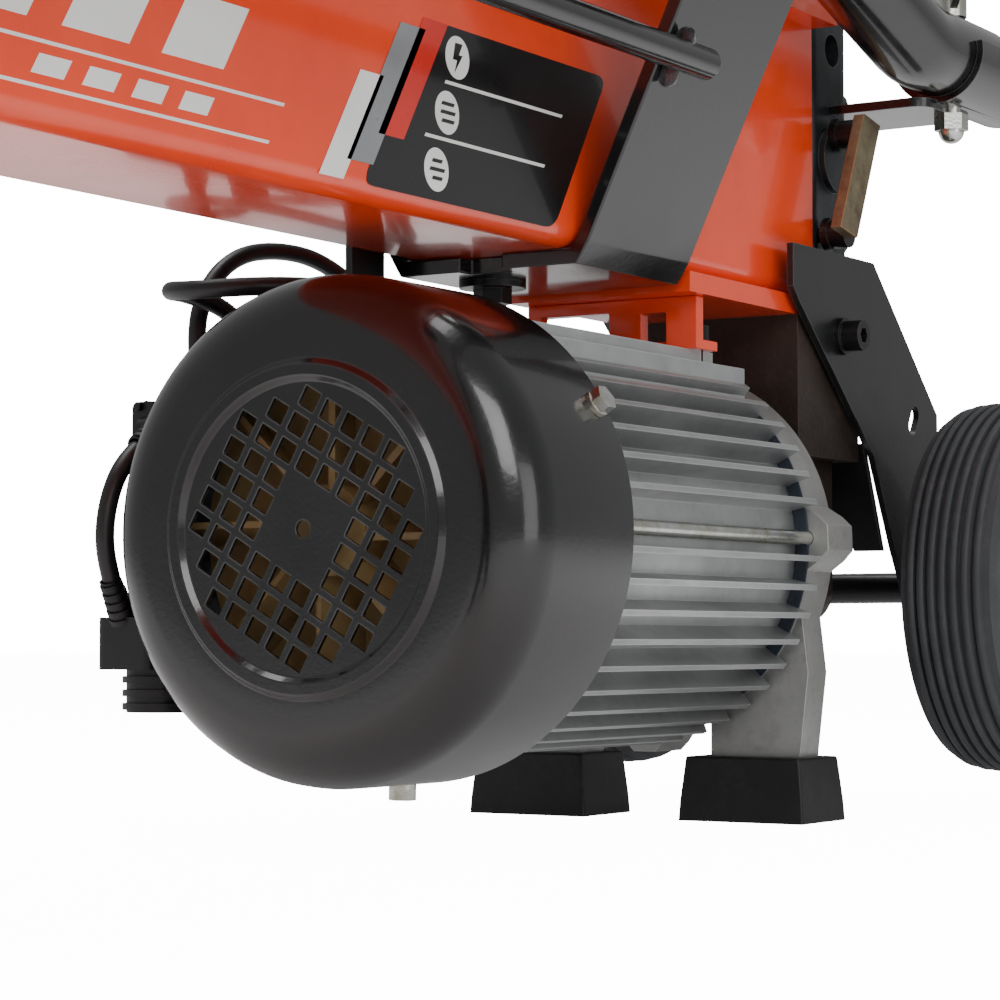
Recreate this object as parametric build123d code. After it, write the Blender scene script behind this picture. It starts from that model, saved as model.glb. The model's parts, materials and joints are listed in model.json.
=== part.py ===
from build123d import *
import os
from math import cos, hypot, pi, radians, sin, tan

# Electric log splitter: a hydraulic ram pushes a log along a beam onto a fixed wedge.
# Millimetres. +X runs from the wedge to the wheels, +Z is up, Z = 0 is the ground.
# The origin is at the bottom centre of the whole machine.

# ---- beam and frame ----
LENGTH = 1150.0                                  # wedge end of the beam to the back of the wheels
HEAD_PLATE = 8.0
BEAM_FRONT, BEAM_REAR = HEAD_PLATE - LENGTH / 2, 421.0
BEAM_HALF, BEAM_WALL = 38.0, 4.0
BEAM_BOTTOM, BEAM_TOP = 217.0, 339.0
FLANGE_HALF, FLANGE_THICK = 50.0, 5.0
BASE_PLATE_FRONT, BASE_PLATE_THICK, BASE_PLATE_HALF = 303.0, 8.0, 42.0
DRAIN_HOLES, DRAIN_R = (-420.0, -180.0), 6.0
COVER_PLATE = 4.0
LEG_FRONT, LEG_REAR, LEG_SHEET = -548.0, -508.0, 4.0
LEG_TOP_HALF, LEG_FOOT_HALF, LEG_FOOT, LEG_NOTCH = 40.0, 105.0, 46.0, 92.0

# ---- log bed ----
LOG_LENGTH = 520.0
STROKE, PUSHER_FACE = 300.0, 15.0
WEDGE_TIP = PUSHER_FACE - LOG_LENGTH
WEDGE_BACK = BEAM_FRONT
WEDGE_HEIGHT, SPREADER_HEIGHT = 128.0, 66.0
CRADLE_THICK, CRADLE_LENGTH, CRADLE_FLARE = 6.0, 78.0, 25.0
REAR_CRADLE, FRONT_CRADLE = 221.0, -470.0
CRADLE_TOP, CRADLE_FOOT = 345.0, 8.0
RAIL_R, LOW_RAIL_Z, HIGH_RAIL_Z = 6.0, 284.0, 330.0

# ---- hydraulics ----
FIT = 0.05                                       # radial running clearance of shafts, pins and rods
GAP = 0.4                                        # clearance between parts that move past each other
RAM_Z = 278.0
CYLINDER_FRONT, HEAD_DEPTH = 51.0, 22.0
CYLINDER_R, BORE_R, ROD_R, ROD_END_R = 31.0, 25.0, 14.0, 10.0
VALVE_FRONT, VALVE_REAR, VALVE_BOTTOM, VALVE_TOP = BEAM_REAR, 457.0, 234.0, BEAM_TOP + 8.0
PISTON_LENGTH = 24.0
PISTON_FRONT = CYLINDER_FRONT + HEAD_DEPTH + STROKE + 20.0
SPOOL_X, SPOOL_Z, SPOOL_R, SPOOL_END = 441.0, 328.0, 7.0, 46.0
STRAP_SCREWS, STRAP_Y = ((437.0, 290.0), (428.0, 246.0)), 52.0
CAP_SCREWS = tuple((y, z) for y in (-28, 28) for z in (248, 308))
LEVER_X, LEVER_LENGTH, LEVER_PIN_R = SPOOL_X, 84.0, 3.0
PIVOT_Y, PIVOT_Z = 56.0, BEAM_TOP + 19.0
LEVER_SCREWS, LEVER_SCREW_R = (18.0, 32.0), 3.0
DIPSTICK_X, DIPSTICK_Y = 395.0, 0.0
BLEED_X, BLEED_Y = 352.0, 24.0
PUMP_FRONT, PUMP_REAR = 396.0, 455.0
GEAR_PITCH_R, GEAR_TEETH = 12.0, 12
GEAR_FRONT, GEAR_REAR = 404.0, 422.0

# ---- motor ----
MOTOR_Y, MOTOR_Z = 9.0, 111.0
IDLER_Z = MOTOR_Z + 2 * GEAR_PITCH_R
COVER_FRONT, COVER_REAR, COVER_R, COVER_SKIN = 117.0, 189.0, 90.0, 1.6
FAN_FRONT = COVER_FRONT + 14
COVER_SCREW_ANGLES, COVER_SCREW_X = (61.0, -59.0, 181.0), 181.0
VENT_PITCH, VENT_HOLE, VENT_REACH, VENT_TURN = 10.0, 7.2, 53.0, 30.0
HOUSING_FRONT, HOUSING_REAR = 186.0, 357.0
HOUSING_R, HOUSING_BORE, FIN_R, FIN_THICK, FIN_COUNT = 70.0, 64.2, 81.0, 2.4, 44
PAD_TOP, HANGER_X = 188.0, 316.0
HANGER_SCREW_X, HANGER_SCREW_Y = 328.0, -31.0
SHIELD_REAR, SHIELD_R = 380.0, 75.0
TIE_ANGLES, TIE_R = (88.0, -88.0, 180.0), 74.5
SHAFT_R, ROTOR_SHAFT_R = 8.0, 10.0
STATOR = (222.0, 322.0)
ROTOR_RINGS = (214.0, 330.0)
BOOT_X, BOOT_HEIGHT = (345.0, 385.0), 26.0

# ---- wheels ----
AXLE_X, AXLE_Z, AXLE_R, AXLE_HALF = 495.0, 96.0, 6.75, 130.0
WHEEL_R, WHEEL_IN, WHEEL_OUT, RIM_R = 80.0, 77.0, 119.0, 54.0
BRACKET_SCREWS = ((428.0, 202.0),)

# ---- lifting bow ----
BOW_R, BOW_WALL, BOW_Y, BOW_Z = 18.0, 2.0, 84.0, 323.0
BOW_BEND_X, BOW_FRONT, BOW_REAR, BOW_SLOPE = 425.0, 165.0, 490.0, 17.0
SADDLE_X, SADDLE_LENGTH, SADDLE_BOLT = 448.0, 72.0, 15.0

# ---- switch and leads ----
SWITCH_X, SWITCH_Y, SWITCH_Z = (169.5, 234.0), (100.0, 126.0), (84.0, 158.0)
BUTTON_X, START_Z, STOP_Z, BUTTON_R = 204.0, 134.0, 108.0, 9.0
LID_HINGE, LID_PIN_R, LID_HALF = (127.4, 162.0), 1.6, 27.5
LEAD_R, GLAND_R = 3.5, 6.0
LOOP_EXIT, MOTOR_EXIT, INLET_EXIT = (222.0, 106.0, 168.0), (200.0, 118.0, 168.0), (163.0, 108.0, 152.0)
LOOP_END, MOTOR_END, INLET_END = (304.0, 96.0, 160.0), (321.0, 105.0, 172.0), (144.3, 110.0, 81.3)


# ---- shared shapes ----
def block(x, y, z):
    """Box between three (low, high) pairs."""
    centre = Pos((x[0] + x[1]) / 2, (y[0] + y[1]) / 2, (z[0] + z[1]) / 2)
    return centre * Box(x[1] - x[0], y[1] - y[0], z[1] - z[0])


def bar_x(x, y, z, r):
    """Round bar along X between x[0] and x[1]."""
    return Pos((x[0] + x[1]) / 2, y, z) * Rot(0, 90, 0) * Cylinder(r, x[1] - x[0])


def bar_y(x, y, z, r):
    """Round bar along Y between y[0] and y[1]."""
    return Pos(x, (y[0] + y[1]) / 2, z) * Rot(90, 0, 0) * Cylinder(r, y[1] - y[0])


def bar_z(x, y, z, r):
    """Round bar along Z between z[0] and z[1]."""
    return Pos(x, y, (z[0] + z[1]) / 2) * Cylinder(r, z[1] - z[0])


def outline_x(points, x):
    """Closed (y, z) outline, extruded along X between x[0] and x[1]."""
    face = make_face(Polyline(*[(x[0], y, z) for y, z in points], close=True))
    return extrude(face, amount=x[1] - x[0], dir=(1, 0, 0))


def outline_y(points, y):
    """Closed (x, z) outline, extruded along Y between y[0] and y[1]."""
    face = make_face(Polyline(*[(x, y[0], z) for x, z in points], close=True))
    return extrude(face, amount=y[1] - y[0], dir=(0, 1, 0))


def outline_z(points, z):
    """Closed (x, y) outline, extruded along Z between z[0] and z[1]."""
    face = make_face(Polyline(*[(x, y, z[0]) for x, y in points], close=True))
    return extrude(face, amount=z[1] - z[0], dir=(0, 0, 1))


def turned(points, y, z):
    """Solid of revolution about an X axis at (y, z), from an (x, radius) outline."""
    face = make_face(Polyline(*[(x, y, z + r) for x, r in points], close=True))
    return revolve(face, Axis((0, y, z), (1, 0, 0)))


def edges_at(shape, axis, places, reach=0.6):
    """Edges parallel to an axis whose centre is near one of the places given."""
    found = []
    for edge in shape.edges().filter_by(axis):
        centre = edge.center()
        for place in places:
            spread = [c - p for c, p in zip((centre.X, centre.Y, centre.Z), place) if p is not None]
            if hypot(*spread) < reach:
                found.append(edge)
    return found


def hexagon(radius, height):
    """Hexagonal prism along Z, centred, of the given corner radius."""
    return Pos(0, 0, -height / 2) * extrude(RegularPolygon(radius, 6), amount=height)


def socket_screw(shank, length, head, depth):
    """Socket head screw along +Z: the head stands on Z = 0 and the shank hangs below."""
    body = bar_z(0, 0, (-length, 0), shank) + bar_z(0, 0, (0, depth), head)
    return body - Pos(0, 0, depth) * hexagon(head * 0.55, depth)


def hex_screw(shank, length, corner, depth):
    """Hex head screw along +Z: the head stands on Z = 0 and the shank hangs below."""
    return bar_z(0, 0, (-length, 0), shank) + Pos(0, 0, depth / 2) * hexagon(corner, depth)


def both_sides(shape):
    """A shape and its mirror image across the machine's centre plane."""
    return [shape, mirror(shape, about=Plane.XZ)]


def together(shapes):
    """Several separate solids in one node."""
    solids = []
    for shape in shapes:
        solids.extend(shape.solids())
    return Compound(solids)


# ---- beam and frame shapes ----
def beam_channel():
    """Open-topped channel with side flanges, and the base plate welded under its rear end."""
    half, inner = BEAM_HALF, BEAM_HALF - BEAM_WALL
    floor, lip = BEAM_BOTTOM + BEAM_WALL, BEAM_TOP - FLANGE_THICK
    section = [(-FLANGE_HALF, BEAM_TOP), (-FLANGE_HALF, lip), (-half, lip), (-half, BEAM_BOTTOM),
               (half, BEAM_BOTTOM), (half, lip), (FLANGE_HALF, lip), (FLANGE_HALF, BEAM_TOP),
               (inner, BEAM_TOP), (inner, floor), (-inner, floor), (-inner, BEAM_TOP)]
    channel = outline_x(section, (BEAM_FRONT, BEAM_REAR))
    channel = fillet(edges_at(channel, Axis.X, [(None, y, BEAM_BOTTOM) for y in (-half, half)]), 8)
    channel = fillet(edges_at(channel, Axis.X, [(None, y, floor) for y in (-inner, inner)]), 4)
    plate = block((BASE_PLATE_FRONT, BEAM_REAR), (-BASE_PLATE_HALF, BASE_PLATE_HALF),
                  (BEAM_BOTTOM - BASE_PLATE_THICK, BEAM_BOTTOM))
    wall = block((BEAM_REAR - 4, BEAM_REAR), (-inner, inner), (floor, BEAM_TOP))
    body = channel + plate + (wall - bar_x((BEAM_REAR - 5, BEAM_REAR + 1), 0, RAM_Z, CYLINDER_R))
    for x in DRAIN_HOLES:
        body -= bar_z(x, 0, (BEAM_BOTTOM - 1, floor + 1), DRAIN_R)
    return body


def motor_hanger():
    """Comb-shaped plate between the base plate and the motor's top pad, with a foot for one screw."""
    x, foot = (HANGER_X, HANGER_X + 6), (HANGER_X + 6, HANGER_X + 18)
    top, bottom = BEAM_BOTTOM - BASE_PLATE_THICK, PAD_TOP
    points = [(-38, top), (-38, bottom), (-24, bottom), (-24, top - 6), (-13, top - 6), (-13, bottom),
              (2, bottom), (2, top - 5), (34, top - 5), (34, bottom), (40, bottom), (40, top)]
    plate = outline_x(points, x) + block(foot, (-38, 40), (bottom, bottom + 4))
    return plate - bar_z(HANGER_SCREW_X, HANGER_SCREW_Y, (bottom - 1, bottom + 5), 3.1)


def tank_cover():
    """Lid of the oil tank, which is the closed rear part of the channel."""
    front = CYLINDER_FRONT + 5
    cover = block((front, BEAM_REAR), (-FLANGE_HALF, FLANGE_HALF), (BEAM_TOP, BEAM_TOP + COVER_PLATE))
    corners = [(x, y, None) for x in (front, BEAM_REAR) for y in (-FLANGE_HALF, FLANGE_HALF)]
    cover = fillet(edges_at(cover, Axis.Z, corners), 6)
    cover -= bar_z(DIPSTICK_X, DIPSTICK_Y, (BEAM_TOP - 1, BEAM_TOP + 5), 10.1)
    return cover - bar_z(BLEED_X, BLEED_Y, (BEAM_TOP - 1, BEAM_TOP + 5), 4.1)


def dipstick():
    """Filler cap with a flat gauge blade that reaches into the oil beside the cylinder."""
    top = BEAM_TOP + COVER_PLATE
    cap = bar_z(DIPSTICK_X, DIPSTICK_Y, (top, top + 13), 15)
    cap = fillet(cap.edges().group_by(Axis.Z)[-1], 2)
    neck = bar_z(DIPSTICK_X, DIPSTICK_Y, (BEAM_TOP - 6, top), 10)
    blade = block((DIPSTICK_X - 3, DIPSTICK_X + 3), (-1, 1), (RAM_Z + CYLINDER_R + 4, BEAM_TOP - 6))
    grip = block((DIPSTICK_X - 12, DIPSTICK_X + 12), (-2.5, 2.5), (top + 13, top + 21))
    return cap + neck + blade + grip


def bleed_screw():
    """Knurled vent screw of the tank."""
    top = BEAM_TOP + COVER_PLATE
    head = bar_z(BLEED_X, BLEED_Y, (top, top + 8), 8)
    return head + bar_z(BLEED_X, BLEED_Y, (BEAM_TOP - 4, top), 4)


def wing_face_y(z):
    """Distance of a wing's outer face from the centre plane at height z."""
    rise = z - (BEAM_BOTTOM - CRADLE_THICK + CRADLE_FOOT)
    return BEAM_HALF + CRADLE_THICK + rise * tan(radians(CRADLE_FLARE))


def cradle(front):
    """U-shaped plate round the channel's underside, with two wings that flare outwards."""
    rear = front + CRADLE_LENGTH
    low, side, reach = BEAM_BOTTOM - CRADLE_THICK, BEAM_HALF + CRADLE_THICK, wing_face_y(CRADLE_TOP)
    bend = low + CRADLE_FOOT
    across = CRADLE_THICK / cos(radians(CRADLE_FLARE))
    outer = [(reach, CRADLE_TOP), (side, bend), (side - 5, low)]
    inner = [(side - across - 1.5, BEAM_BOTTOM), (side - across + 1.2, bend + 1.5)]
    right = outer + [(0, low), (0, BEAM_BOTTOM)] + inner + [(reach - across, CRADLE_TOP)]
    body = Part()
    for wing in both_sides(outline_x(right, (front, rear))):
        body += wing
    body = fillet(edges_at(body, Axis.X, [(None, y, bend) for y in (-side, side)]), 9)
    body -= block((front, front + 8), (-6, 12), (low - 1, BEAM_BOTTOM + 1))
    for sign in (-1, 1):
        span = sorted((sign * (side + 20), sign * (reach + 2)))
        for x in (front, rear):
            corner = [(x - 16, CRADLE_TOP + 1), (x + 16, CRADLE_TOP + 1), (x, CRADLE_TOP - 14)]
            body -= outline_y(corner, span)
    return body


def cradle_bolts():
    """Dished washer and bolt head under each cradle."""
    low = BEAM_BOTTOM - CRADLE_THICK
    bolts = []
    for front in (REAR_CRADLE, FRONT_CRADLE):
        x = front + CRADLE_LENGTH * 0.42
        washer = bar_z(x, 18, (low - 2.5, low), 13)
        head = Pos(x, 18, low - 5.5) * hexagon(7.5, 6)
        bolts.append(washer + head)
    return together(bolts)


def log_rail(z, rear):
    """Two round rails along the machine, welded to the outside of the wings."""
    y = wing_face_y(z) + RAIL_R / cos(radians(CRADLE_FLARE))
    front = FRONT_CRADLE + 30
    rail = bar_x((front, rear), -y, z, RAIL_R)
    rail = fillet(rail.edges(), 1.5)
    return together(both_sides(rail))


def wedge():
    """Splitting blade with a hardened edge towards the ram, and its side spreaders."""
    tip, back, top = WEDGE_TIP, WEDGE_BACK, BEAM_TOP + WEDGE_HEIGHT
    blade = outline_z([(tip, 0), (tip - 16, 5), (back, 7), (back, -7), (tip - 16, -5)], (BEAM_TOP, top))
    blade -= outline_y([(tip + 1, top - 22), (tip + 1, top + 1), (tip - 20, top + 1)], (-9, 9))
    flanks = [(tip - 24, 5.4), (back, 32), (back, -32), (tip - 24, -5.4)]
    return blade + outline_z(flanks, (BEAM_TOP, BEAM_TOP + SPREADER_HEIGHT))


def wedge_plate():
    """Head plate that closes the front of the beam and backs the wedge."""
    top = BEAM_TOP + WEDGE_HEIGHT
    points = [(-52, BEAM_BOTTOM), (52, BEAM_BOTTOM), (52, BEAM_TOP), (40, top - 18), (18, top),
              (-18, top), (-40, top - 18), (-52, BEAM_TOP)]
    return outline_x(points, (BEAM_FRONT - HEAD_PLATE, BEAM_FRONT))


def front_leg():
    """Folded sheet leg under the wedge end, with a foot turned out at the bottom."""
    x0, x1, thick, top = LEG_FRONT, LEG_REAR, LEG_SHEET, BEAM_BOTTOM
    half, foot_half = LEG_TOP_HALF, LEG_FOOT_HALF
    inner = foot_half - LEG_FOOT
    web = outline_x([(-half, top), (half, top), (foot_half, 0), (inner, 0), (0, LEG_NOTCH),
                     (-inner, 0), (-foot_half, 0)], (x0, x0 + thick))
    legs = web + block((x0 + thick, x1), (-half, half), (top - thick, top))
    side = [(half, top - thick), (half - thick, top - thick), (foot_half - thick, 0), (foot_half, 0)]
    for wall in both_sides(outline_x(side, (x0 + thick, x1))):
        legs += wall
    for foot in both_sides(block((x0 + thick, x1), (inner, foot_half - thick), (0, thick))):
        legs += foot
    return legs


# ---- hydraulics ----
def cylinder_tube():
    """Honed cylinder tube, closed at the rear by the valve block."""
    tube = bar_x((CYLINDER_FRONT + HEAD_DEPTH, VALVE_FRONT), 0, RAM_Z, CYLINDER_R)
    return tube - bar_x((CYLINDER_FRONT, VALVE_FRONT + 1), 0, RAM_Z, BORE_R)


def cylinder_head():
    """Front head: it guides the rod and closes the front of the oil tank."""
    inner, floor = BEAM_HALF - BEAM_WALL - 0.1, BEAM_BOTTOM + BEAM_WALL + 0.1
    rear = CYLINDER_FRONT + HEAD_DEPTH
    head = block((CYLINDER_FRONT, rear), (-inner, inner), (floor, BEAM_TOP - 0.1))
    head = fillet(edges_at(head, Axis.X, [(None, y, floor) for y in (-inner, inner)]), 4.5)
    head += bar_x((rear, rear + 14), 0, RAM_Z, BORE_R - 0.1)
    head -= bar_x((CYLINDER_FRONT - 1, rear + 15), 0, RAM_Z, ROD_R + FIT)
    return head - bar_x((CYLINDER_FRONT - 1, CYLINDER_FRONT + 7), 0, RAM_Z, ROD_R + 7)


def rod_seal():
    """Wiper seal in the front head."""
    ring = bar_x((CYLINDER_FRONT, CYLINDER_FRONT + 6.9), 0, RAM_Z, ROD_R + 6.9)
    return ring - bar_x((CYLINDER_FRONT - 1, CYLINDER_FRONT + 8), 0, RAM_Z, ROD_R + FIT)


def piston():
    """Piston with two ring grooves."""
    front, rear = PISTON_FRONT, PISTON_FRONT + PISTON_LENGTH
    body = bar_x((front, rear), 0, RAM_Z, BORE_R - FIT)
    for x in (front + 6, front + 14):
        body -= bar_x((x, x + 4), 0, RAM_Z, BORE_R + 1) - bar_x((x, x + 4), 0, RAM_Z, BORE_R - 2.5)
    return body - bar_x((front - 1, rear + 1), 0, RAM_Z, ROD_END_R)


def piston_rod():
    """Chromed rod from the pusher's tang, with a smaller end through the piston."""
    rod = bar_x((PUSHER_FACE + 18, PISTON_FRONT), 0, RAM_Z, ROD_R)
    return rod + bar_x((PISTON_FRONT, PISTON_FRONT + PISTON_LENGTH), 0, RAM_Z, ROD_END_R)


def pusher():
    """Ram carriage: toothed push plate, slide shoes over the flanges, ribs and a tang for the rod."""
    face, back, base = PUSHER_FACE, PUSHER_FACE + 12, BEAM_TOP + GAP
    tang_half, shoe_half = BEAM_HALF - BEAM_WALL - 1, FLANGE_HALF + 8
    body = block((face + 4, face + 18), (-tang_half, tang_half), (RAM_Z - 22, base))
    body += outline_x([(-46, base), (46, base), (40, base + 96), (22, base + 112), (-22, base + 112),
                       (-40, base + 96)], (face, back))
    for y in (-24, 0, 24):
        for z in (BEAM_TOP + 30, BEAM_TOP + 58, BEAM_TOP + 86):
            body += Pos(face - 3, y, z) * Rot(0, -90, 0) * Cone(5, 1.5, 6)
    for y in (-28, 28):
        rib = [(back, BEAM_TOP + 8), (back + 24, BEAM_TOP + 8), (back, BEAM_TOP + 84)]
        body += outline_y(rib, (y - 3, y + 3))
    length, lip = (face, back + 26), BEAM_TOP - FLANGE_THICK
    body += block(length, (-shoe_half, shoe_half), (base, BEAM_TOP + 8))
    for sign in (-1, 1):
        cheek = sorted((sign * (FLANGE_HALF + GAP), sign * shoe_half))
        hook = sorted((sign * (BEAM_HALF + 1), sign * shoe_half))
        body += block(length, cheek, (lip - 8, base))
        body += block(length, hook, (lip - 8, lip - GAP))
    return body


def valve_block():
    """Cast rear block: cylinder end cap with the spool bore across its top."""
    body = block((VALVE_FRONT, VALVE_REAR), (-BEAM_HALF, BEAM_HALF), (VALVE_BOTTOM, VALVE_TOP))
    body = fillet(body.edges().filter_by(Axis.Z), 5)
    body += bar_y(SPOOL_X, (-BEAM_HALF - 3, -BEAM_HALF), 280, 14)
    body -= bar_y(SPOOL_X, (-BEAM_HALF - 1, BEAM_HALF + 1), SPOOL_Z, SPOOL_R + FIT)
    for x, z in STRAP_SCREWS:
        body -= bar_y(x, (-42, -24), z, 3.3)
    for y, z in CAP_SCREWS:
        body -= bar_x((VALVE_REAR - 15, VALVE_REAR + 1), y, z, 4.1)
    for y in LEVER_SCREWS:
        body -= bar_z(LEVER_X, y, (VALVE_TOP - 14, VALVE_TOP + 1), LEVER_SCREW_R + 0.1)
    return body


def valve_spool():
    """Spool across the block: two lands, a waist, and a button end in front of the lever."""
    spool = bar_y(SPOOL_X, (-30, SPOOL_END), SPOOL_Z, SPOOL_R)
    waist = bar_y(SPOOL_X, (-8, 8), SPOOL_Z, SPOOL_R + 1) - bar_y(SPOOL_X, (-8, 8), SPOOL_Z, 4.5)
    return spool - waist


def valve_screws():
    """Socket screws at the block's rear face, and the two side screws with spring washers."""
    screws = []
    for y, z in CAP_SCREWS:
        screws.append(Pos(VALVE_REAR, y, z) * Rot(0, 90, 0) * socket_screw(4, 14, 6.5, 8))
    for x, z in STRAP_SCREWS:
        shank = bar_y(x, (-STRAP_Y, -26), z, 3.2)
        washer = bar_y(x, (-44.5, -41.2), z, 7.2)
        collar = bar_y(x, (-STRAP_Y, -44.5), z, 6.2)
        screws.append(shank + washer + collar)
    return together(screws)


def side_strap():
    """Raw flat bar held off the block's side by two screws."""
    lean, length, width, foot = radians(25), 57.0, 18.0, (409.0, 246.0)
    run = (length * sin(lean), length * cos(lean))
    across = (width * cos(lean), -width * 0.16)
    points = [foot, (foot[0] + run[0], foot[1] + run[1]),
              (foot[0] + run[0] + across[0], foot[1] + run[1] + across[1]),
              (foot[0] + across[0], foot[1] + across[1])]
    return outline_y(points, (-STRAP_Y - 5, -STRAP_Y))


def lever_bracket():
    """Fork on top of the valve block that carries the control lever beside the spool."""
    floor, sheet, cheek = VALVE_TOP, 4.0, 7.0
    rear, outer = PIVOT_Y + 8, cheek + sheet
    fork = block((LEVER_X - outer, LEVER_X + outer), (12, rear), (floor, floor + sheet))
    slot = cheek - 0.5
    fork -= block((LEVER_X - slot, LEVER_X + slot), (40, rear + 1), (floor - 1, floor + sheet + 1))
    ear = [(44, floor + sheet), (rear, floor + sheet), (PIVOT_Y + 7, PIVOT_Z + 7), (PIVOT_Y - 7, PIVOT_Z + 7)]
    for x in ((LEVER_X - outer, LEVER_X - cheek), (LEVER_X + cheek, LEVER_X + outer)):
        fork += outline_x(ear, x)
    fork -= bar_x((LEVER_X - outer - 1, LEVER_X + outer + 1), PIVOT_Y, PIVOT_Z, LEVER_PIN_R + FIT)
    for y in LEVER_SCREWS:
        fork -= bar_z(LEVER_X, y, (floor - 1, floor + sheet + 1), LEVER_SCREW_R + 0.1)
    return fork


def lever_screws():
    """Two hex screws that hold the fork."""
    seat = VALVE_TOP + 4
    return together([Pos(LEVER_X, y, seat) * hex_screw(LEVER_SCREW_R, 16, 5.5, 4) for y in LEVER_SCREWS])


def control_lever():
    """Steel lever with its pivot pin and the short arm that presses the spool."""
    lever = bar_z(LEVER_X, PIVOT_Y, (PIVOT_Z + 6, PIVOT_Z + LEVER_LENGTH), 4)
    lever += bar_x((LEVER_X - 6, LEVER_X + 6), PIVOT_Y, PIVOT_Z, 8)
    lever += bar_x((LEVER_X - 13, LEVER_X + 13), PIVOT_Y, PIVOT_Z, LEVER_PIN_R)
    arm = block((LEVER_X - 5, LEVER_X + 5), (SPOOL_END + 0.3, PIVOT_Y - 2), (SPOOL_Z - 6, PIVOT_Z - 4))
    return lever + arm


def lever_knob():
    """Round moulded knob on the lever."""
    z = PIVOT_Z + LEVER_LENGTH
    knob = Pos(LEVER_X, PIVOT_Y, z + 13) * Sphere(15)
    collar = bar_z(LEVER_X, PIVOT_Y, (z - 6, z + 4), 7)
    return knob + collar - bar_z(LEVER_X, PIVOT_Y, (z - 7, z), 4)


# ---- pump ----
def gear(y, z, phase):
    """Spur gear about an X axis, with teeth slightly thinner than their spaces."""
    root, tip = GEAR_PITCH_R - 2.6, GEAR_PITCH_R + 1.9
    wheel = bar_x((GEAR_FRONT, GEAR_REAR), y, z, root)
    for i in range(GEAR_TEETH):
        tooth = outline_x([(-1.6, root - 1), (1.6, root - 1), (0.6, tip), (-0.6, tip)], (GEAR_FRONT, GEAR_REAR))
        turn = 360 / GEAR_TEETH * i + phase
        wheel += Pos(0, y, z) * Rot(turn, 0, 0) * tooth
    return wheel


def pump_body():
    """Pump housing: round motor flange, square block up to the beam, and the gear chamber."""
    flange = bar_x((SHIELD_REAR, PUMP_FRONT), MOTOR_Y, MOTOR_Z, 36)
    chamber = block((PUMP_FRONT, PUMP_REAR - 12), (-36, 36), (80, 152))
    chamber = fillet(edges_at(chamber, Axis.X, [(None, y, 80) for y in (-36, 36)]), 14)
    head = block((PUMP_FRONT, PUMP_REAR), (-43, 43), (150, BEAM_BOTTOM - BASE_PLATE_THICK))
    body = flange + chamber + head
    for z in (MOTOR_Z, IDLER_Z):
        body -= bar_x((GEAR_FRONT - 0.5, GEAR_REAR + 0.5), MOTOR_Y, z, GEAR_PITCH_R + 2.4)
    body -= bar_x((SHIELD_REAR - 1, GEAR_FRONT), MOTOR_Y, MOTOR_Z, SHAFT_R + FIT)
    body -= bar_x((GEAR_REAR, GEAR_REAR + 12), MOTOR_Y, MOTOR_Z, SHAFT_R + FIT)
    body -= bar_x((GEAR_FRONT - 7.4, GEAR_REAR + 10.4), MOTOR_Y, IDLER_Z, 6 + FIT)
    for sign in (-1, 1):
        for x, z in BRACKET_SCREWS:
            body -= bar_y(x, sorted((sign * 30, sign * 44)), z, 4.1)
    return body


def drive_gear():
    """Pump gear keyed on the motor shaft."""
    return gear(MOTOR_Y, MOTOR_Z, 0) - bar_x((GEAR_FRONT - 1, GEAR_REAR + 1), MOTOR_Y, MOTOR_Z, SHAFT_R)


def driven_gear():
    """Second pump gear, in one piece with its two journals."""
    wheel = gear(MOTOR_Y, IDLER_Z, 180 / GEAR_TEETH)
    return wheel + bar_x((GEAR_FRONT - 7, GEAR_REAR + 10), MOTOR_Y, IDLER_Z, 6)


# ---- motor ----
def radial(shape, x, angle):
    """Place a shape made along +Z so that it points outwards from the motor's axis."""
    return Pos(x, MOTOR_Y, MOTOR_Z) * Rot(angle, 0, 0) * shape


def cover_profile():
    """Section of the fan cover as (x, radius) points, with one embossed ring in its face."""
    front, rear, radius, skin, bend, steps = COVER_FRONT, COVER_REAR, COVER_R, COVER_SKIN, 20.0, 6
    ring = [(0, 51), (-2, 53), (-2, 57), (0, 59)]
    outer = [(front, 0)] + [(front + x, r) for x, r in ring]
    inner = [(rear, radius - skin)]
    angles = [pi / 2 * i / steps for i in range(steps + 1)]
    for a in angles:
        outer.append((front + bend - bend * cos(a), radius - bend + bend * sin(a)))
    for a in reversed(angles):
        inner.append((front + bend - (bend - skin) * cos(a), radius - bend + (bend - skin) * sin(a)))
    inner += [(front + skin + x, r) for x, r in reversed(ring)]
    return outer + [(rear, radius)] + inner + [(front + skin, 0)]


def fan_cover():
    """Pressed cup over the fan: rounded rim, embossed ring and a turned grid of square holes."""
    cup = turned(cover_profile(), MOTOR_Y, MOTOR_Z)
    cells = []
    for i in range(-5, 6):
        for j in range(-5, 6):
            away = VENT_PITCH * hypot(i, j)
            if away + VENT_HOLE * 0.6 < VENT_REACH and away > 1.6 * VENT_PITCH:
                cells.append(Pos(0, i * VENT_PITCH, j * VENT_PITCH) * Box(8, VENT_HOLE, VENT_HOLE))
    cup -= [Pos(COVER_FRONT, MOTOR_Y, MOTOR_Z) * Rot(VENT_TURN, 0, 0) * cell for cell in cells]
    cup -= bar_x((COVER_FRONT - 3, COVER_FRONT + 3), MOTOR_Y, MOTOR_Z, 3)
    for a in COVER_SCREW_ANGLES:
        cup -= radial(bar_z(0, 0, (COVER_R - 5, COVER_R + 3), 2.6), COVER_SCREW_X, a)
    return cup


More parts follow.
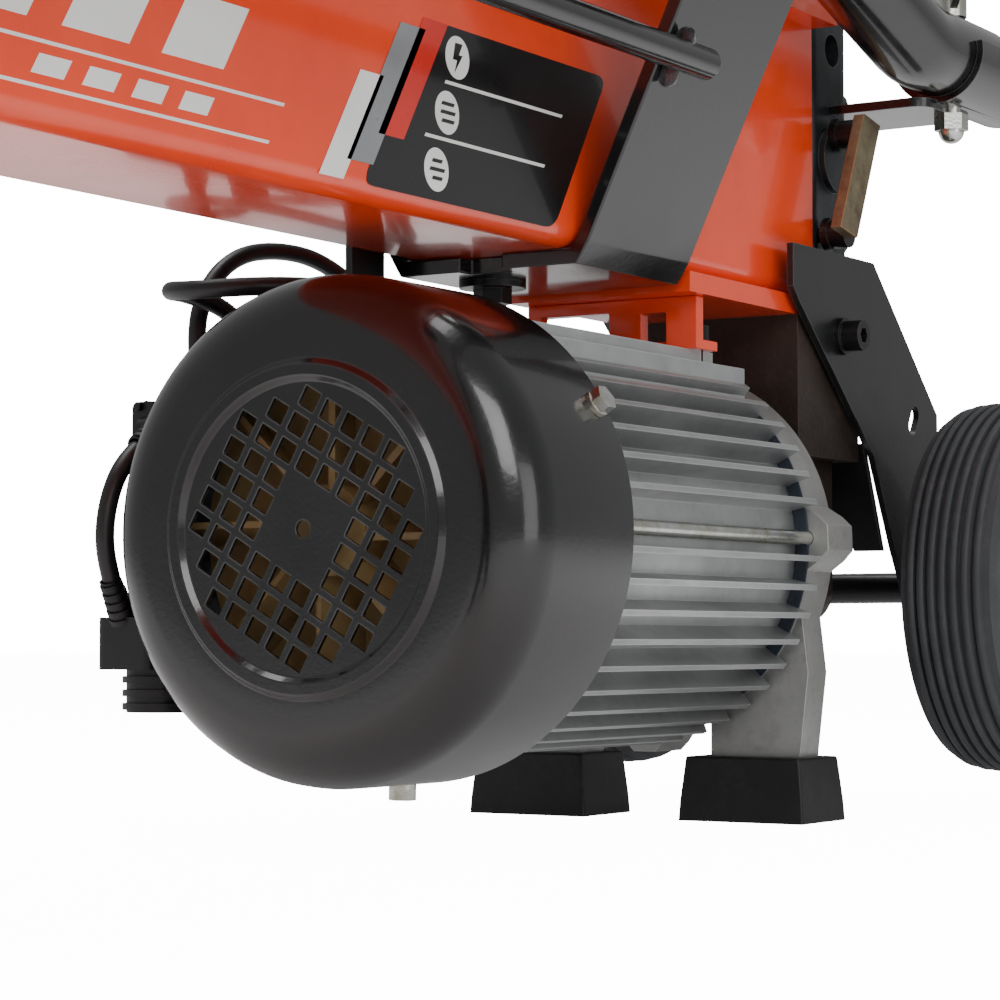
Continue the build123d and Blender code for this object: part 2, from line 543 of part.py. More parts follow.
def front_shield():
    """Front end shield inside the fan cover, with three lugs for the cover's screws."""
    body = bar_x((HOUSING_FRONT - 10, HOUSING_FRONT), MOTOR_Y, MOTOR_Z, 76)
    for a in COVER_SCREW_ANGLES:
        body += radial(Pos(0, 0, 81) * Box(10, 14, 14.2), HOUSING_FRONT - 5, a)
    body += bar_x((HOUSING_FRONT, HOUSING_FRONT + 8), MOTOR_Y, MOTOR_Z, HOUSING_BORE - 0.2)
    body -= bar_x((HOUSING_FRONT - 3, HOUSING_FRONT + 9), MOTOR_Y, MOTOR_Z, 17.6)
    body -= bar_x((HOUSING_FRONT - 11, HOUSING_FRONT + 9), MOTOR_Y, MOTOR_Z, SHAFT_R + 1)
    for a in TIE_ANGLES:
        body -= radial(bar_x((-12, 2), 0, TIE_R, 3.1), HOUSING_FRONT, a)
    return body


def motor_housing():
    """Extruded aluminium barrel with long cooling fins and a flat pad on top."""
    x = (HOUSING_FRONT, HOUSING_REAR)
    body = bar_x(x, MOTOR_Y, MOTOR_Z, HOUSING_R)
    step = 360 / FIN_COUNT
    fin = block(x, (-FIN_THICK / 2, FIN_THICK / 2), (HOUSING_R - 2, FIN_R))
    fins = []
    for i in range(FIN_COUNT):
        angle = (i + 0.5) * step
        off_top = min(angle, 360 - angle)
        near_tie = min(abs((angle - a + 180) % 360 - 180) for a in TIE_ANGLES)
        if off_top > 25 and near_tie > 3.2:
            fins.append(Pos(0, MOTOR_Y, MOTOR_Z) * Rot(angle, 0, 0) * fin)
    body += fins
    body += block(x, (-38, MOTOR_Y + 33), (MOTOR_Z + 55, PAD_TOP - 5))
    body += block((x[0], x[1] - 20), (-34, MOTOR_Y + 29), (PAD_TOP - 6, PAD_TOP))
    body -= bar_x((x[0] - 1, x[1] + 1), MOTOR_Y, MOTOR_Z, HOUSING_BORE)
    return body - bar_z(HANGER_SCREW_X, HANGER_SCREW_Y, (PAD_TOP - 12, PAD_TOP + 1), 3.1)


def rear_shield():
    """Cast rear end shield with tie rod ears and two legs."""
    x = (HOUSING_REAR, SHIELD_REAR)
    body = bar_x(x, MOTOR_Y, MOTOR_Z, SHIELD_R)
    for a in TIE_ANGLES:
        ear = outline_x([(-17, 68), (17, 68), (9, 80), (5, 84), (-5, 84), (-9, 80)], (0, x[1] - x[0]))
        body += radial(ear, x[0], a)
    for sign in (-1, 1):
        leg = [(sign * 70, 92), (sign * 30, 42), (sign * 30, 8), (sign * 68, 8), (sign * 74, 60)]
        body += outline_x([(MOTOR_Y + y, z) for y, z in leg], (x[0] + 2, x[1] - 4))
        foot = sorted((MOTOR_Y + sign * 26, MOTOR_Y + sign * 74))
        body += block((BOOT_X[0] + 4, BOOT_X[1] - 4), foot, (8, 23))
    body -= bar_x((x[0] - 1, x[0] + 17), MOTOR_Y, MOTOR_Z, 20.1)
    body -= bar_x((x[0] - 1, x[0] + 8), MOTOR_Y, MOTOR_Z, 58)
    seat = bar_x((x[0] + 4, x[0] + 17), MOTOR_Y, MOTOR_Z, 27)
    body += seat - bar_x((x[0] + 3, x[0] + 18), MOTOR_Y, MOTOR_Z, 20.1)
    body -= bar_x((x[0], x[1] + 1), MOTOR_Y, MOTOR_Z, SHAFT_R + 1)
    for a in TIE_ANGLES:
        body -= radial(bar_x((-1, 25), 0, TIE_R, 3.1), x[0], a)
    return body


def rubber_boots():
    """Two moulded rubber shoes on the motor's legs, which stand on the ground."""
    boots = []
    for sign in (-1, 1):
        centre = MOTOR_Y + sign * 50
        mid = (BOOT_X[0] + BOOT_X[1]) / 2
        depth = BOOT_X[1] - BOOT_X[0]
        low = Pos(mid, centre, 0) * Rectangle(depth, 56)
        waist = Pos(mid, centre, 8) * Rectangle(depth - 1, 55)
        top = Pos(mid, centre, BOOT_HEIGHT) * Rectangle(depth - 4, 51)
        boot = loft([low, waist]) + loft([waist, top])
        foot = sorted((MOTOR_Y + sign * 26, MOTOR_Y + sign * 74))
        boot -= block((BOOT_X[0] + 4, BOOT_X[1] - 4), foot, (8, 23))
        leg = sorted((MOTOR_Y + sign * 30, MOTOR_Y + sign * 74))
        boot -= block((HOUSING_REAR + 2, SHIELD_REAR - 4), leg, (8, 30))
        boots.append(boot)
    return together(boots)


def tie_rods():
    """Zinc tie rods with nuts, which clamp the motor between its end shields."""
    rods = []
    for a in TIE_ANGLES:
        rod = bar_x((HOUSING_FRONT - 16, SHIELD_REAR - 4), 0, TIE_R, 3)
        nut = Pos(HOUSING_FRONT - 12.5, 0, TIE_R) * Rot(0, 90, 0) * hexagon(5.6, 5)
        rods.append(Pos(0, MOTOR_Y, MOTOR_Z) * Rot(a, 0, 0) * (rod + nut))
    return together(rods)


def cover_screws():
    """Hex screws with spring washers round the rim of the fan cover."""
    screws = []
    for a in COVER_SCREW_ANGLES:
        washer = bar_z(0, 0, (COVER_R, COVER_R + 1.8), 5)
        head = Pos(0, 0, COVER_R + 1.8 + 2) * hexagon(5, 4)
        shank = bar_z(0, 0, (COVER_R - 1.6, COVER_R + 2), 2.5)
        screws.append(radial(washer + head + shank, COVER_SCREW_X, a))
    return together(screws)


def stator_core():
    """Laminated stator ring."""
    ring = bar_x(STATOR, MOTOR_Y, MOTOR_Z, HOUSING_BORE - 0.1)
    return ring - bar_x((STATOR[0] - 1, STATOR[1] + 1), MOTOR_Y, MOTOR_Z, 38.5)


def stator_winding():
    """Copper end windings on both sides of the stator."""
    rings = []
    for x in ((STATOR[0] - 20, STATOR[0]), (STATOR[1], STATOR[1] + 20)):
        ring = bar_x(x, MOTOR_Y, MOTOR_Z, 57) - bar_x((x[0] - 1, x[1] + 1), MOTOR_Y, MOTOR_Z, 41)
        rings.append(fillet(ring.edges().filter_by(GeomType.CIRCLE), 4))
    return together(rings)


def rotor_core():
    """Squirrel cage rotor with its end rings."""
    core = bar_x(STATOR, MOTOR_Y, MOTOR_Z, 38) + bar_x(ROTOR_RINGS, MOTOR_Y, MOTOR_Z, 33)
    return core - bar_x((ROTOR_RINGS[0] - 1, ROTOR_RINGS[1] + 1), MOTOR_Y, MOTOR_Z, ROTOR_SHAFT_R)


def motor_shaft():
    """Motor shaft from the fan to the pump's drive gear."""
    shaft = bar_x((COVER_FRONT + 16, GEAR_REAR + 10), MOTOR_Y, MOTOR_Z, SHAFT_R)
    return shaft + bar_x(ROTOR_RINGS, MOTOR_Y, MOTOR_Z, ROTOR_SHAFT_R)


def cooling_fan():
    """Moulded fan with eight straight blades behind the cover."""
    hub = bar_x((FAN_FRONT, FAN_FRONT + 28), MOTOR_Y, MOTOR_Z, 16)
    disc = bar_x((FAN_FRONT + 19, FAN_FRONT + 25), MOTOR_Y, MOTOR_Z, 66)
    fan = hub + disc
    for i in range(8):
        blade = Pos(FAN_FRONT + 10, 0, 38) * Rot(0, 0, 14) * Box(22, 2.5, 50)
        fan += Pos(0, MOTOR_Y, MOTOR_Z) * Rot(45 * i, 0, 0) * blade
    return fan - bar_x((FAN_FRONT + 1.9, FAN_FRONT + 29), MOTOR_Y, MOTOR_Z, SHAFT_R)


def motor_bearings():
    """Two ball bearings, drawn as plain rings with a running fit on the shaft."""
    rings = []
    for front, width, outer in ((HOUSING_FRONT - 3, 11, 17.5), (HOUSING_REAR + 4, 13, 20)):
        ring = bar_x((front, front + width), MOTOR_Y, MOTOR_Z, outer)
        rings.append(ring - bar_x((front - 1, front + width + 1), MOTOR_Y, MOTOR_Z, SHAFT_R + FIT))
    return together(rings)


def hanger_screw():
    """Cap screw that ties the hanger's foot to the motor's top pad."""
    return Pos(HANGER_SCREW_X, HANGER_SCREW_Y, PAD_TOP + 4) * socket_screw(3, 14, 5.5, 6)


# ---- wheels ----
def bracket_plate():
    """Side plate of the wheel bracket at -Y: flat at the top, and bent outwards below the bend."""
    thick, face, bend_z, foot_z, flare = 3.0, 48.0, 153.0, 78.0, 10.0
    upper = [(382, 237), (382, 219), (388, 213), (460, bend_z), (529, bend_z), (529, 175), (461, 237)]
    lower = [(460, bend_z), (529, bend_z), (529, 104), (513, 82), (490, 80), (479, 86), (470, 112)]
    band = outline_x([(thick - face, bend_z), (-face, bend_z), (-face - flare, foot_z),
                      (thick - face - flare, foot_z)], (440, 540))
    plate = outline_y(upper, (-face, thick - face)) + (outline_y(lower, (-70, -40)) & band)
    plate -= bar_y(AXLE_X, (-80, -30), AXLE_Z, AXLE_R + 0.1)
    oval = Plane((503, -30, 171), x_dir=(0.5, 0, 0.87), z_dir=(0, -1, 0)) * SlotCenterToCenter(6, 8)
    plate -= extrude(oval, 40)
    for x, z in BRACKET_SCREWS:
        plate -= bar_y(x, (-80, -30), z, 4.1)
    return plate


def wheel_bracket():
    """Bent sheet bracket: two side plates joined by a sloping panel with an arched lower edge."""
    panel = outline_y([(458, 158), (455, 158), (474, 112), (477, 112)], (-45, 45))
    panel -= Pos(466, 0, 100) * Rot(0, 90, 0) * Cylinder(34, 40)
    for plate in both_sides(bracket_plate()):
        panel += plate
    return panel


def bracket_screws():
    """Socket screws with spring washers through the bracket into the pump body."""
    screws = []
    for sign in (-1, 1):
        for x, z in BRACKET_SCREWS:
            washer = bar_z(0, 0, (0, 2.5), 8)
            screw = Pos(0, 0, 2.5) * socket_screw(4, 18, 6.5, 8)
            screws.append(Pos(x, sign * 48, z) * Rot(-90 * sign, 0, 0) * (washer + screw))
    return together(screws)


def axle():
    """Cross axle of the wheels."""
    shaft = bar_y(AXLE_X, (-AXLE_HALF, AXLE_HALF), AXLE_Z, AXLE_R)
    for side in both_sides(bar_y(AXLE_X, (-WHEEL_IN + GAP, -WHEEL_IN + 3), AXLE_Z, 11)):
        shaft += side
    return shaft


def axle_caps():
    """Push-on caps that keep the wheels on the axle."""
    cap = bar_y(AXLE_X, (-AXLE_HALF - 3, -WHEEL_OUT - GAP), AXLE_Z, 12)
    cap = fillet(cap.edges().group_by(Axis.Y)[0], 2.5) - bar_y(AXLE_X, (-AXLE_HALF, -100), AXLE_Z, AXLE_R)
    return together(both_sides(cap))


def wheel_hub():
    """Moulded wheel disc with a hub, a web and spokes, and a rim for the tyre."""
    hub = bar_y(AXLE_X, (-WHEEL_OUT, -WHEEL_IN), AXLE_Z, 15)
    rim = bar_y(AXLE_X, (-WHEEL_OUT + 3, -WHEEL_IN - 3), AXLE_Z, RIM_R)
    rim -= bar_y(AXLE_X, (-WHEEL_OUT, -WHEEL_IN), AXLE_Z, RIM_R - 5)
    web = bar_y(AXLE_X, (-100, -96), AXLE_Z, 50)
    wheel = hub + rim + web
    for i in range(6):
        spoke = Pos(0, -98, 32) * Box(4, 26, 38)
        wheel += Pos(AXLE_X, 0, AXLE_Z) * Rot(0, 60 * i, 0) * spoke
    return wheel - bar_y(AXLE_X, (-130, -60), AXLE_Z, AXLE_R + FIT)


def tyre():
    """Solid rubber tyre with ribs round the tread."""
    mid = -(WHEEL_OUT + WHEEL_IN) / 2
    ring = fillet(bar_y(AXLE_X, (-WHEEL_OUT, -WHEEL_IN), AXLE_Z, WHEEL_R).edges(), 7)
    for i in range(6):
        y = (mid - 15 + 6 * i - 0.9, mid - 15 + 6 * i + 0.9)
        ring -= bar_y(AXLE_X, y, AXLE_Z, WHEEL_R + 2) - bar_y(AXLE_X, y, AXLE_Z, WHEEL_R - 2.2)
    ring -= bar_y(AXLE_X, (-WHEEL_OUT + 3, -WHEEL_IN - 3), AXLE_Z, RIM_R)
    return ring - bar_y(AXLE_X, (-WHEEL_OUT - 1, -WHEEL_IN + 1), AXLE_Z, RIM_R - 4)


# ---- lifting bow ----
def bow_route():
    """Centre line of the bow: level legs in the saddles, then up and forwards to a cross bar."""
    top_z = BOW_Z + (BOW_BEND_X - BOW_FRONT) * tan(radians(BOW_SLOPE))
    points = [(BOW_REAR, -BOW_Y, BOW_Z), (BOW_BEND_X, -BOW_Y, BOW_Z), (BOW_FRONT, -BOW_Y, top_z),
              (BOW_FRONT, BOW_Y, top_z), (BOW_BEND_X, BOW_Y, BOW_Z), (BOW_REAR, BOW_Y, BOW_Z)]
    return FilletPolyline(*points, radius=[60, 46, 46, 60])


def lifting_bow():
    """Bent tube that the machine is lifted and pulled by."""
    path = bow_route()
    start = Plane(path @ 0, z_dir=path % 0)
    bow = sweep(start * Circle(BOW_R), path=path) - sweep(start * Circle(BOW_R - BOW_WALL), path=path)
    for sign in (-1, 1):
        bow -= bar_z(SADDLE_X + SADDLE_BOLT, sign * BOW_Y, (BOW_Z - 30, BOW_Z + 30), 4.2)
    return bow


def bow_saddles():
    """Trough-shaped saddles under the bow's legs, with a lug plate to the valve block."""
    x, lug = (SADDLE_X, SADDLE_X + SADDLE_LENGTH), (SADDLE_X - 12, SADDLE_X + 34)
    outer, inner = BOW_R + 3.2, BOW_R + 0.2
    saddle = bar_x(x, -BOW_Y, BOW_Z, outer)
    saddle -= block((x[0] - 1, x[1] + 1), (-BOW_Y - 30, -BOW_Y + 30), (BOW_Z + 4, BOW_Z + 30))
    plate = block(lug, (-BOW_Y, -BEAM_HALF), (BOW_Z - 24, BOW_Z - 20))
    saddle += fillet(edges_at(plate, Axis.Z, [(lug[0], -BOW_Y, None)]), 8)
    saddle -= bar_x((lug[0] - 1, x[1] + 1), -BOW_Y, BOW_Z, inner)
    saddle -= bar_z(SADDLE_X + SADDLE_BOLT, -BOW_Y, (BOW_Z - 40, BOW_Z), 4.2)
    return together(both_sides(saddle))


def saddle_bolts():
    """Upright bolts through the bow's legs, closed by an acorn nut below."""
    x, low = SADDLE_X + SADDLE_BOLT, BOW_Z - 24
    bolt = bar_z(x, -BOW_Y, (BOW_Z - 30, BOW_Z + BOW_R + 14), 4)
    bolt += Pos(x, -BOW_Y, low - 3.5) * hexagon(7.4, 7)
    bolt += Pos(x, -BOW_Y, low - 7) * Sphere(5.6)
    return together(both_sides(bolt))


def wing_nuts():
    """Wing nuts on top of the saddle bolts."""
    x, z = SADDLE_X + SADDLE_BOLT, BOW_Z + BOW_R
    nut = bar_z(x, -BOW_Y, (z, z + 9), 7)
    for sign in (-1, 1):
        outline = [(sign * 5, 2), (sign * 18, 8), (sign * 17, 20), (sign * 12, 19), (sign * 5, 9)]
        nut += Pos(x, -BOW_Y, z) * Rot(0, 0, 35) * outline_y(outline, (-1.6, 1.6))
    nut -= bar_z(x, -BOW_Y, (z - 1, z + 30), 4)
    return together(both_sides(nut))


# ---- switch ----


def switch_box():
    """Moulded switch case with two button wells, hinge ears and three lead glands."""
    case = block(SWITCH_X, SWITCH_Y, SWITCH_Z)
    case = fillet(case.edges().filter_by(Axis.Y), 5)
    case -= block((SWITCH_X[0] + 3, SWITCH_X[1] - 3), (SWITCH_Y[0] + 3, SWITCH_Y[1] - 3),
                  (SWITCH_Z[0] + 3, SWITCH_Z[1] - 3))
    for z in (START_Z, STOP_Z):
        case -= bar_y(BUTTON_X, (SWITCH_Y[1] - 4, SWITCH_Y[1] + 1), z, BUTTON_R + GAP)
    for x in (BUTTON_X - 30, BUTTON_X + 28):
        case += block((x, x + 2), (SWITCH_Y[1] - 5, LID_HINGE[0] + 2), (SWITCH_Z[1] - 8, LID_HINGE[1] + 2))
    case -= bar_x((BUTTON_X - 40, BUTTON_X + 40), *LID_HINGE, LID_PIN_R + FIT)
    for x, y, z in (LOOP_EXIT, MOTOR_EXIT):
        case += bar_z(x, y, (SWITCH_Z[1] - 1, z), GLAND_R)
    return case + Pos(*INLET_EXIT) * Rot(0, 63.4, 0) * bar_z(0, 0, (0, 9), GLAND_R)


def switch_bracket():
    """Sheet bracket that hangs the switch case from the side of the beam."""
    x, sheet = (196.0, 218.0), 3.0
    drop = block(x, (SWITCH_Y[0] - sheet, SWITCH_Y[0]), (112, 189))
    shelf = block(x, (44, SWITCH_Y[0] - sheet), (186, 189))
    rise = block(x, (44, 44 + sheet), (189, 240))
    foot = block(x, (BEAM_HALF, 44), (228, 240))
    return drop + shelf + rise + foot


def inlet_plug():
    """Appliance inlet under the case: a square flange and a ribbed collar round the pins."""
    top = INLET_END[2]
    flange = block((141, 183), (95, 121), (62, top))
    flange = fillet(flange.edges().filter_by(Axis.Z), 4)
    flange += block((183, 200), (98, 118), (66, SWITCH_Z[0]))
    collar = bar_z(164, 108, (46, 62), 13)
    for i in range(3):
        collar += bar_z(164, 108, (47 + 5 * i, 49.5 + 5 * i), 14.5)
    collar -= bar_z(164, 108, (45, 58), 10.5)
    for x, y in ((159, 104), (169, 104), (164, 113)):
        collar += bar_z(x, y, (48, 60), 2)
    return flange + collar


def start_button():
    """Green start button."""
    return bar_y(BUTTON_X, (SWITCH_Y[1] - 3, SWITCH_Y[1] + 3), START_Z, BUTTON_R)


def stop_button():
    """Red stop button."""
    return bar_y(BUTTON_X, (SWITCH_Y[1] - 3, SWITCH_Y[1] + 4), STOP_Z, BUTTON_R)


def switch_lid():
    """Splash lid above the buttons, hinged on a cross pin."""
    y, z = LID_HINGE
    lid = outline_x([(y - 1, z + 2.6), (y + 5.6, z + 0.6), (y + 5.6, z - 22), (y + 3.6, z - 22),
                     (y + 3.4, z - 0.8), (y - 1, z)], (BUTTON_X - LID_HALF, BUTTON_X + LID_HALF))
    return lid + bar_x((BUTTON_X - 32, BUTTON_X + 32), y, z, LID_PIN_R)


def terminal_box():
    """Terminal box on the motor's far side, with two glands on top."""
    box = block((290, 336), (MOTOR_Y + FIN_R + 0.2, 114), (100, 150))
    box = fillet(box.edges().filter_by(Axis.Y), 4)
    lid = block((288, 338), (114, 117), (98, 152))
    for x, y, z in (LOOP_END, MOTOR_END):
        box += bar_z(x, y, (149, z), GLAND_R)
    return box + lid


# ---- leads: the points are the corners of each route ----
MOTOR_LEAD = [MOTOR_EXIT, (195, 118, 190), (203, 118, 211), (221, 117, 225), (246, 116, 230),
              (272, 114, 229), (298, 112, 219), (316, 109, 199), MOTOR_END]
LOOP_LEAD = [LOOP_EXIT, (220, 107, 187), (204, 107, 201), (178, 109, 205), (155, 100, 203), (146, 80, 201),
             (154, 60, 202), (178, 52, 204), (207, 53, 205), (238, 58, 205), (268, 68, 203), (291, 81, 194),
             (302, 92, 177), LOOP_END]
INLET_LEAD = [INLET_EXIT, (143, 108, 142), (132, 109, 122), (133, 110, 100), INLET_END]


def lead(points):
    """Round lead along straight runs joined by arcs as large as the runs allow."""
    corners = [Vector(*p) for p in points]
    radii = []
    for a, b, c in zip(corners, corners[1:], corners[2:]):
        turn = radians((b - a).get_angle(c - b))
        radii.append(0.45 * min((b - a).length, (c - b).length) / tan(turn / 2))
    path = FilletPolyline(*points, radius=radii)
    tube = sweep(Plane(path @ 0, z_dir=path % 0) * Circle(LEAD_R), path=path)
    print("lead radii", [round(r) for r in radii], "length", round(path.length),
          "volume ratio", round(tube.volume / (path.length * pi * LEAD_R ** 2), 3))
    return tube


PARTS = {
    "beam_channel": beam_channel(),
    "motor_hanger": motor_hanger(),
    "tank_cover": tank_cover(),
    "dipstick": dipstick(),
    "bleed_screw": bleed_screw(),
    "rear_cradle": cradle(REAR_CRADLE),
    "front_cradle": cradle(FRONT_CRADLE),
    "log_rails": together([log_rail(LOW_RAIL_Z, REAR_CRADLE + 24), log_rail(HIGH_RAIL_Z, REAR_CRADLE + 40)]),
    "wedge": wedge(),
    "wedge_plate": wedge_plate(),
    "front_leg": front_leg(),
    "cylinder_tube": cylinder_tube(),
    "cylinder_head": cylinder_head(),
    "rod_seal": rod_seal(),
    "piston": piston(),
    "piston_rod": piston_rod(),
    "pusher": pusher(),
    "valve_block": valve_block(),
    "valve_spool": valve_spool(),
    "valve_screws": together([valve_screws(), lever_screws()]),
    "side_strap": side_strap(),
    "lever_bracket": lever_bracket(),
    "control_lever": control_lever(),
    "lever_knob": lever_knob(),
    "pump_body": pump_body(),
    "drive_gear": drive_gear(),
    "driven_gear": driven_gear(),
    "fan_cover": fan_cover(),
    "front_shield": front_shield(),
    "motor_housing": motor_housing(),
    "rear_shield": rear_shield(),
    "rubber_boots": rubber_boots(),
    "motor_screws": together([tie_rods(), cover_screws()]),
    "stator_core": stator_core(),
    "stator_winding": stator_winding(),
    "rotor_core": rotor_core(),
    "motor_shaft": motor_shaft(),
    "cooling_fan": cooling_fan(),
    "motor_bearings": motor_bearings(),
    "frame_screws": together([cradle_bolts(), bracket_screws(), hanger_screw()]),
    "wheel_bracket": wheel_bracket(),
    "axle": axle(),
    "axle_caps": axle_caps(),
    "left_wheel": wheel_hub(),
    "left_tyre": tyre(),
    "right_wheel": mirror(wheel_hub(), about=Plane.XZ),
    "right_tyre": mirror(tyre(), about=Plane.XZ),
    "lifting_bow": lifting_bow(),
    "bow_saddles": bow_saddles(),
    "saddle_fasteners": together([saddle_bolts(), wing_nuts()]),
    "switch_box": switch_box(),
    "switch_bracket": switch_bracket(),
    "inlet_plug": inlet_plug(),
    "start_button": start_button(),
    "stop_button": stop_button(),
    "switch_lid": switch_lid(),
    "terminal_box": terminal_box(),
    "motor_lead": lead(MOTOR_LEAD),
    "loop_lead": lead(LOOP_LEAD),
    "inlet_lead": lead(INLET_LEAD),
}

os.makedirs("parts", exist_ok=True)
for name, shape in PARTS.items():
    export_step(shape, f"parts/{name}.step")
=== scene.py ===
"""Looks of an electric log splitter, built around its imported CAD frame, in metres."""

import json
import logging
import math
import random
from dataclasses import dataclass, field
from enum import Enum
from typing import Any, Iterable, Optional, Sequence

import bmesh
import bpy
from mathutils import Matrix, Vector

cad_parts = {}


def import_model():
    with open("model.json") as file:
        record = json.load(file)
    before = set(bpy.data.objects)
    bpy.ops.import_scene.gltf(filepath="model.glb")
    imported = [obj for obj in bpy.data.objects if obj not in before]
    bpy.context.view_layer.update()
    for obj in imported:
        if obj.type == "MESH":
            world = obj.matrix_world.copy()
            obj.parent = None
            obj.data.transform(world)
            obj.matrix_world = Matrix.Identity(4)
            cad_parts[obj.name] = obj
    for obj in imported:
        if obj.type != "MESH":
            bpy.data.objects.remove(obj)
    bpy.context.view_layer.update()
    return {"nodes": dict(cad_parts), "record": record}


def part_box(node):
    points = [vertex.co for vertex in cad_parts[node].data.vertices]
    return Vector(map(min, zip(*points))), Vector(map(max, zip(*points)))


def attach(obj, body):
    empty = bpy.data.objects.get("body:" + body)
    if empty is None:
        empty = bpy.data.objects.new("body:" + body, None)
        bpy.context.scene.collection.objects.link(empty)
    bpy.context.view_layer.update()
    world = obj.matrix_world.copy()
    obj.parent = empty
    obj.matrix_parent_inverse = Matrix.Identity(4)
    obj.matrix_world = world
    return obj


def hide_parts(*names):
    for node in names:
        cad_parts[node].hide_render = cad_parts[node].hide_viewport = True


LOG = logging.getLogger("log_splitter")
MM = 0.001
WHEEL_X, WHEEL_Y, AXLE_Z = 495 * MM, 98 * MM, 96 * MM
Point = tuple[float, float, float]
Flat = tuple[float, float]


# ---------------------------------------------------------------- materials
def linear(code: str) -> tuple[float, float, float, float]:
    """Turn an sRGB hex colour into the linear colour a shader works in.

    Args:
        code: six hex digits after a hash sign.

    Returns:
        Red, green, blue and alpha, linear.
    """
    parts = [int(code[i:i + 2], 16) / 255 for i in (1, 3, 5)]
    light = [p / 12.92 if p <= 0.04045 else ((p + 0.055) / 1.055) ** 2.4 for p in parts]
    return (light[0], light[1], light[2], 1.0)


def add_node(tree: bpy.types.NodeTree, kind: str, inputs: Optional[dict[Any, Any]] = None,
             **settings: Any) -> bpy.types.Node:
    """Add a node with its settings, and set or link its inputs.

    Args:
        tree: the node tree.
        kind: Blender's name of the node.
        inputs: input name or number to a value or to an output socket.
        **settings: attributes of the node.

    Returns:
        The new node.
    """
    node = tree.nodes.new(kind)
    for name, value in settings.items():
        setattr(node, name, value)
    for key, value in (inputs or {}).items():
        if isinstance(value, bpy.types.NodeSocket):
            tree.links.new(value, node.inputs[key])
        else:
            node.inputs[key].default_value = value
    return node


class Grain(Enum):
    """How a surface was made, which decides its fine relief."""

    PEEL = "soft orange peel of a baked paint"
    CAST = "pitted skin of a casting"
    DRAWN = "fine lines along X from drawing or extrusion"
    TURNED = "fine lines round Y or X from turning"
    MOULD = "even spark-eroded mould texture"
    PLATE = "crystal spangle of a plated part"


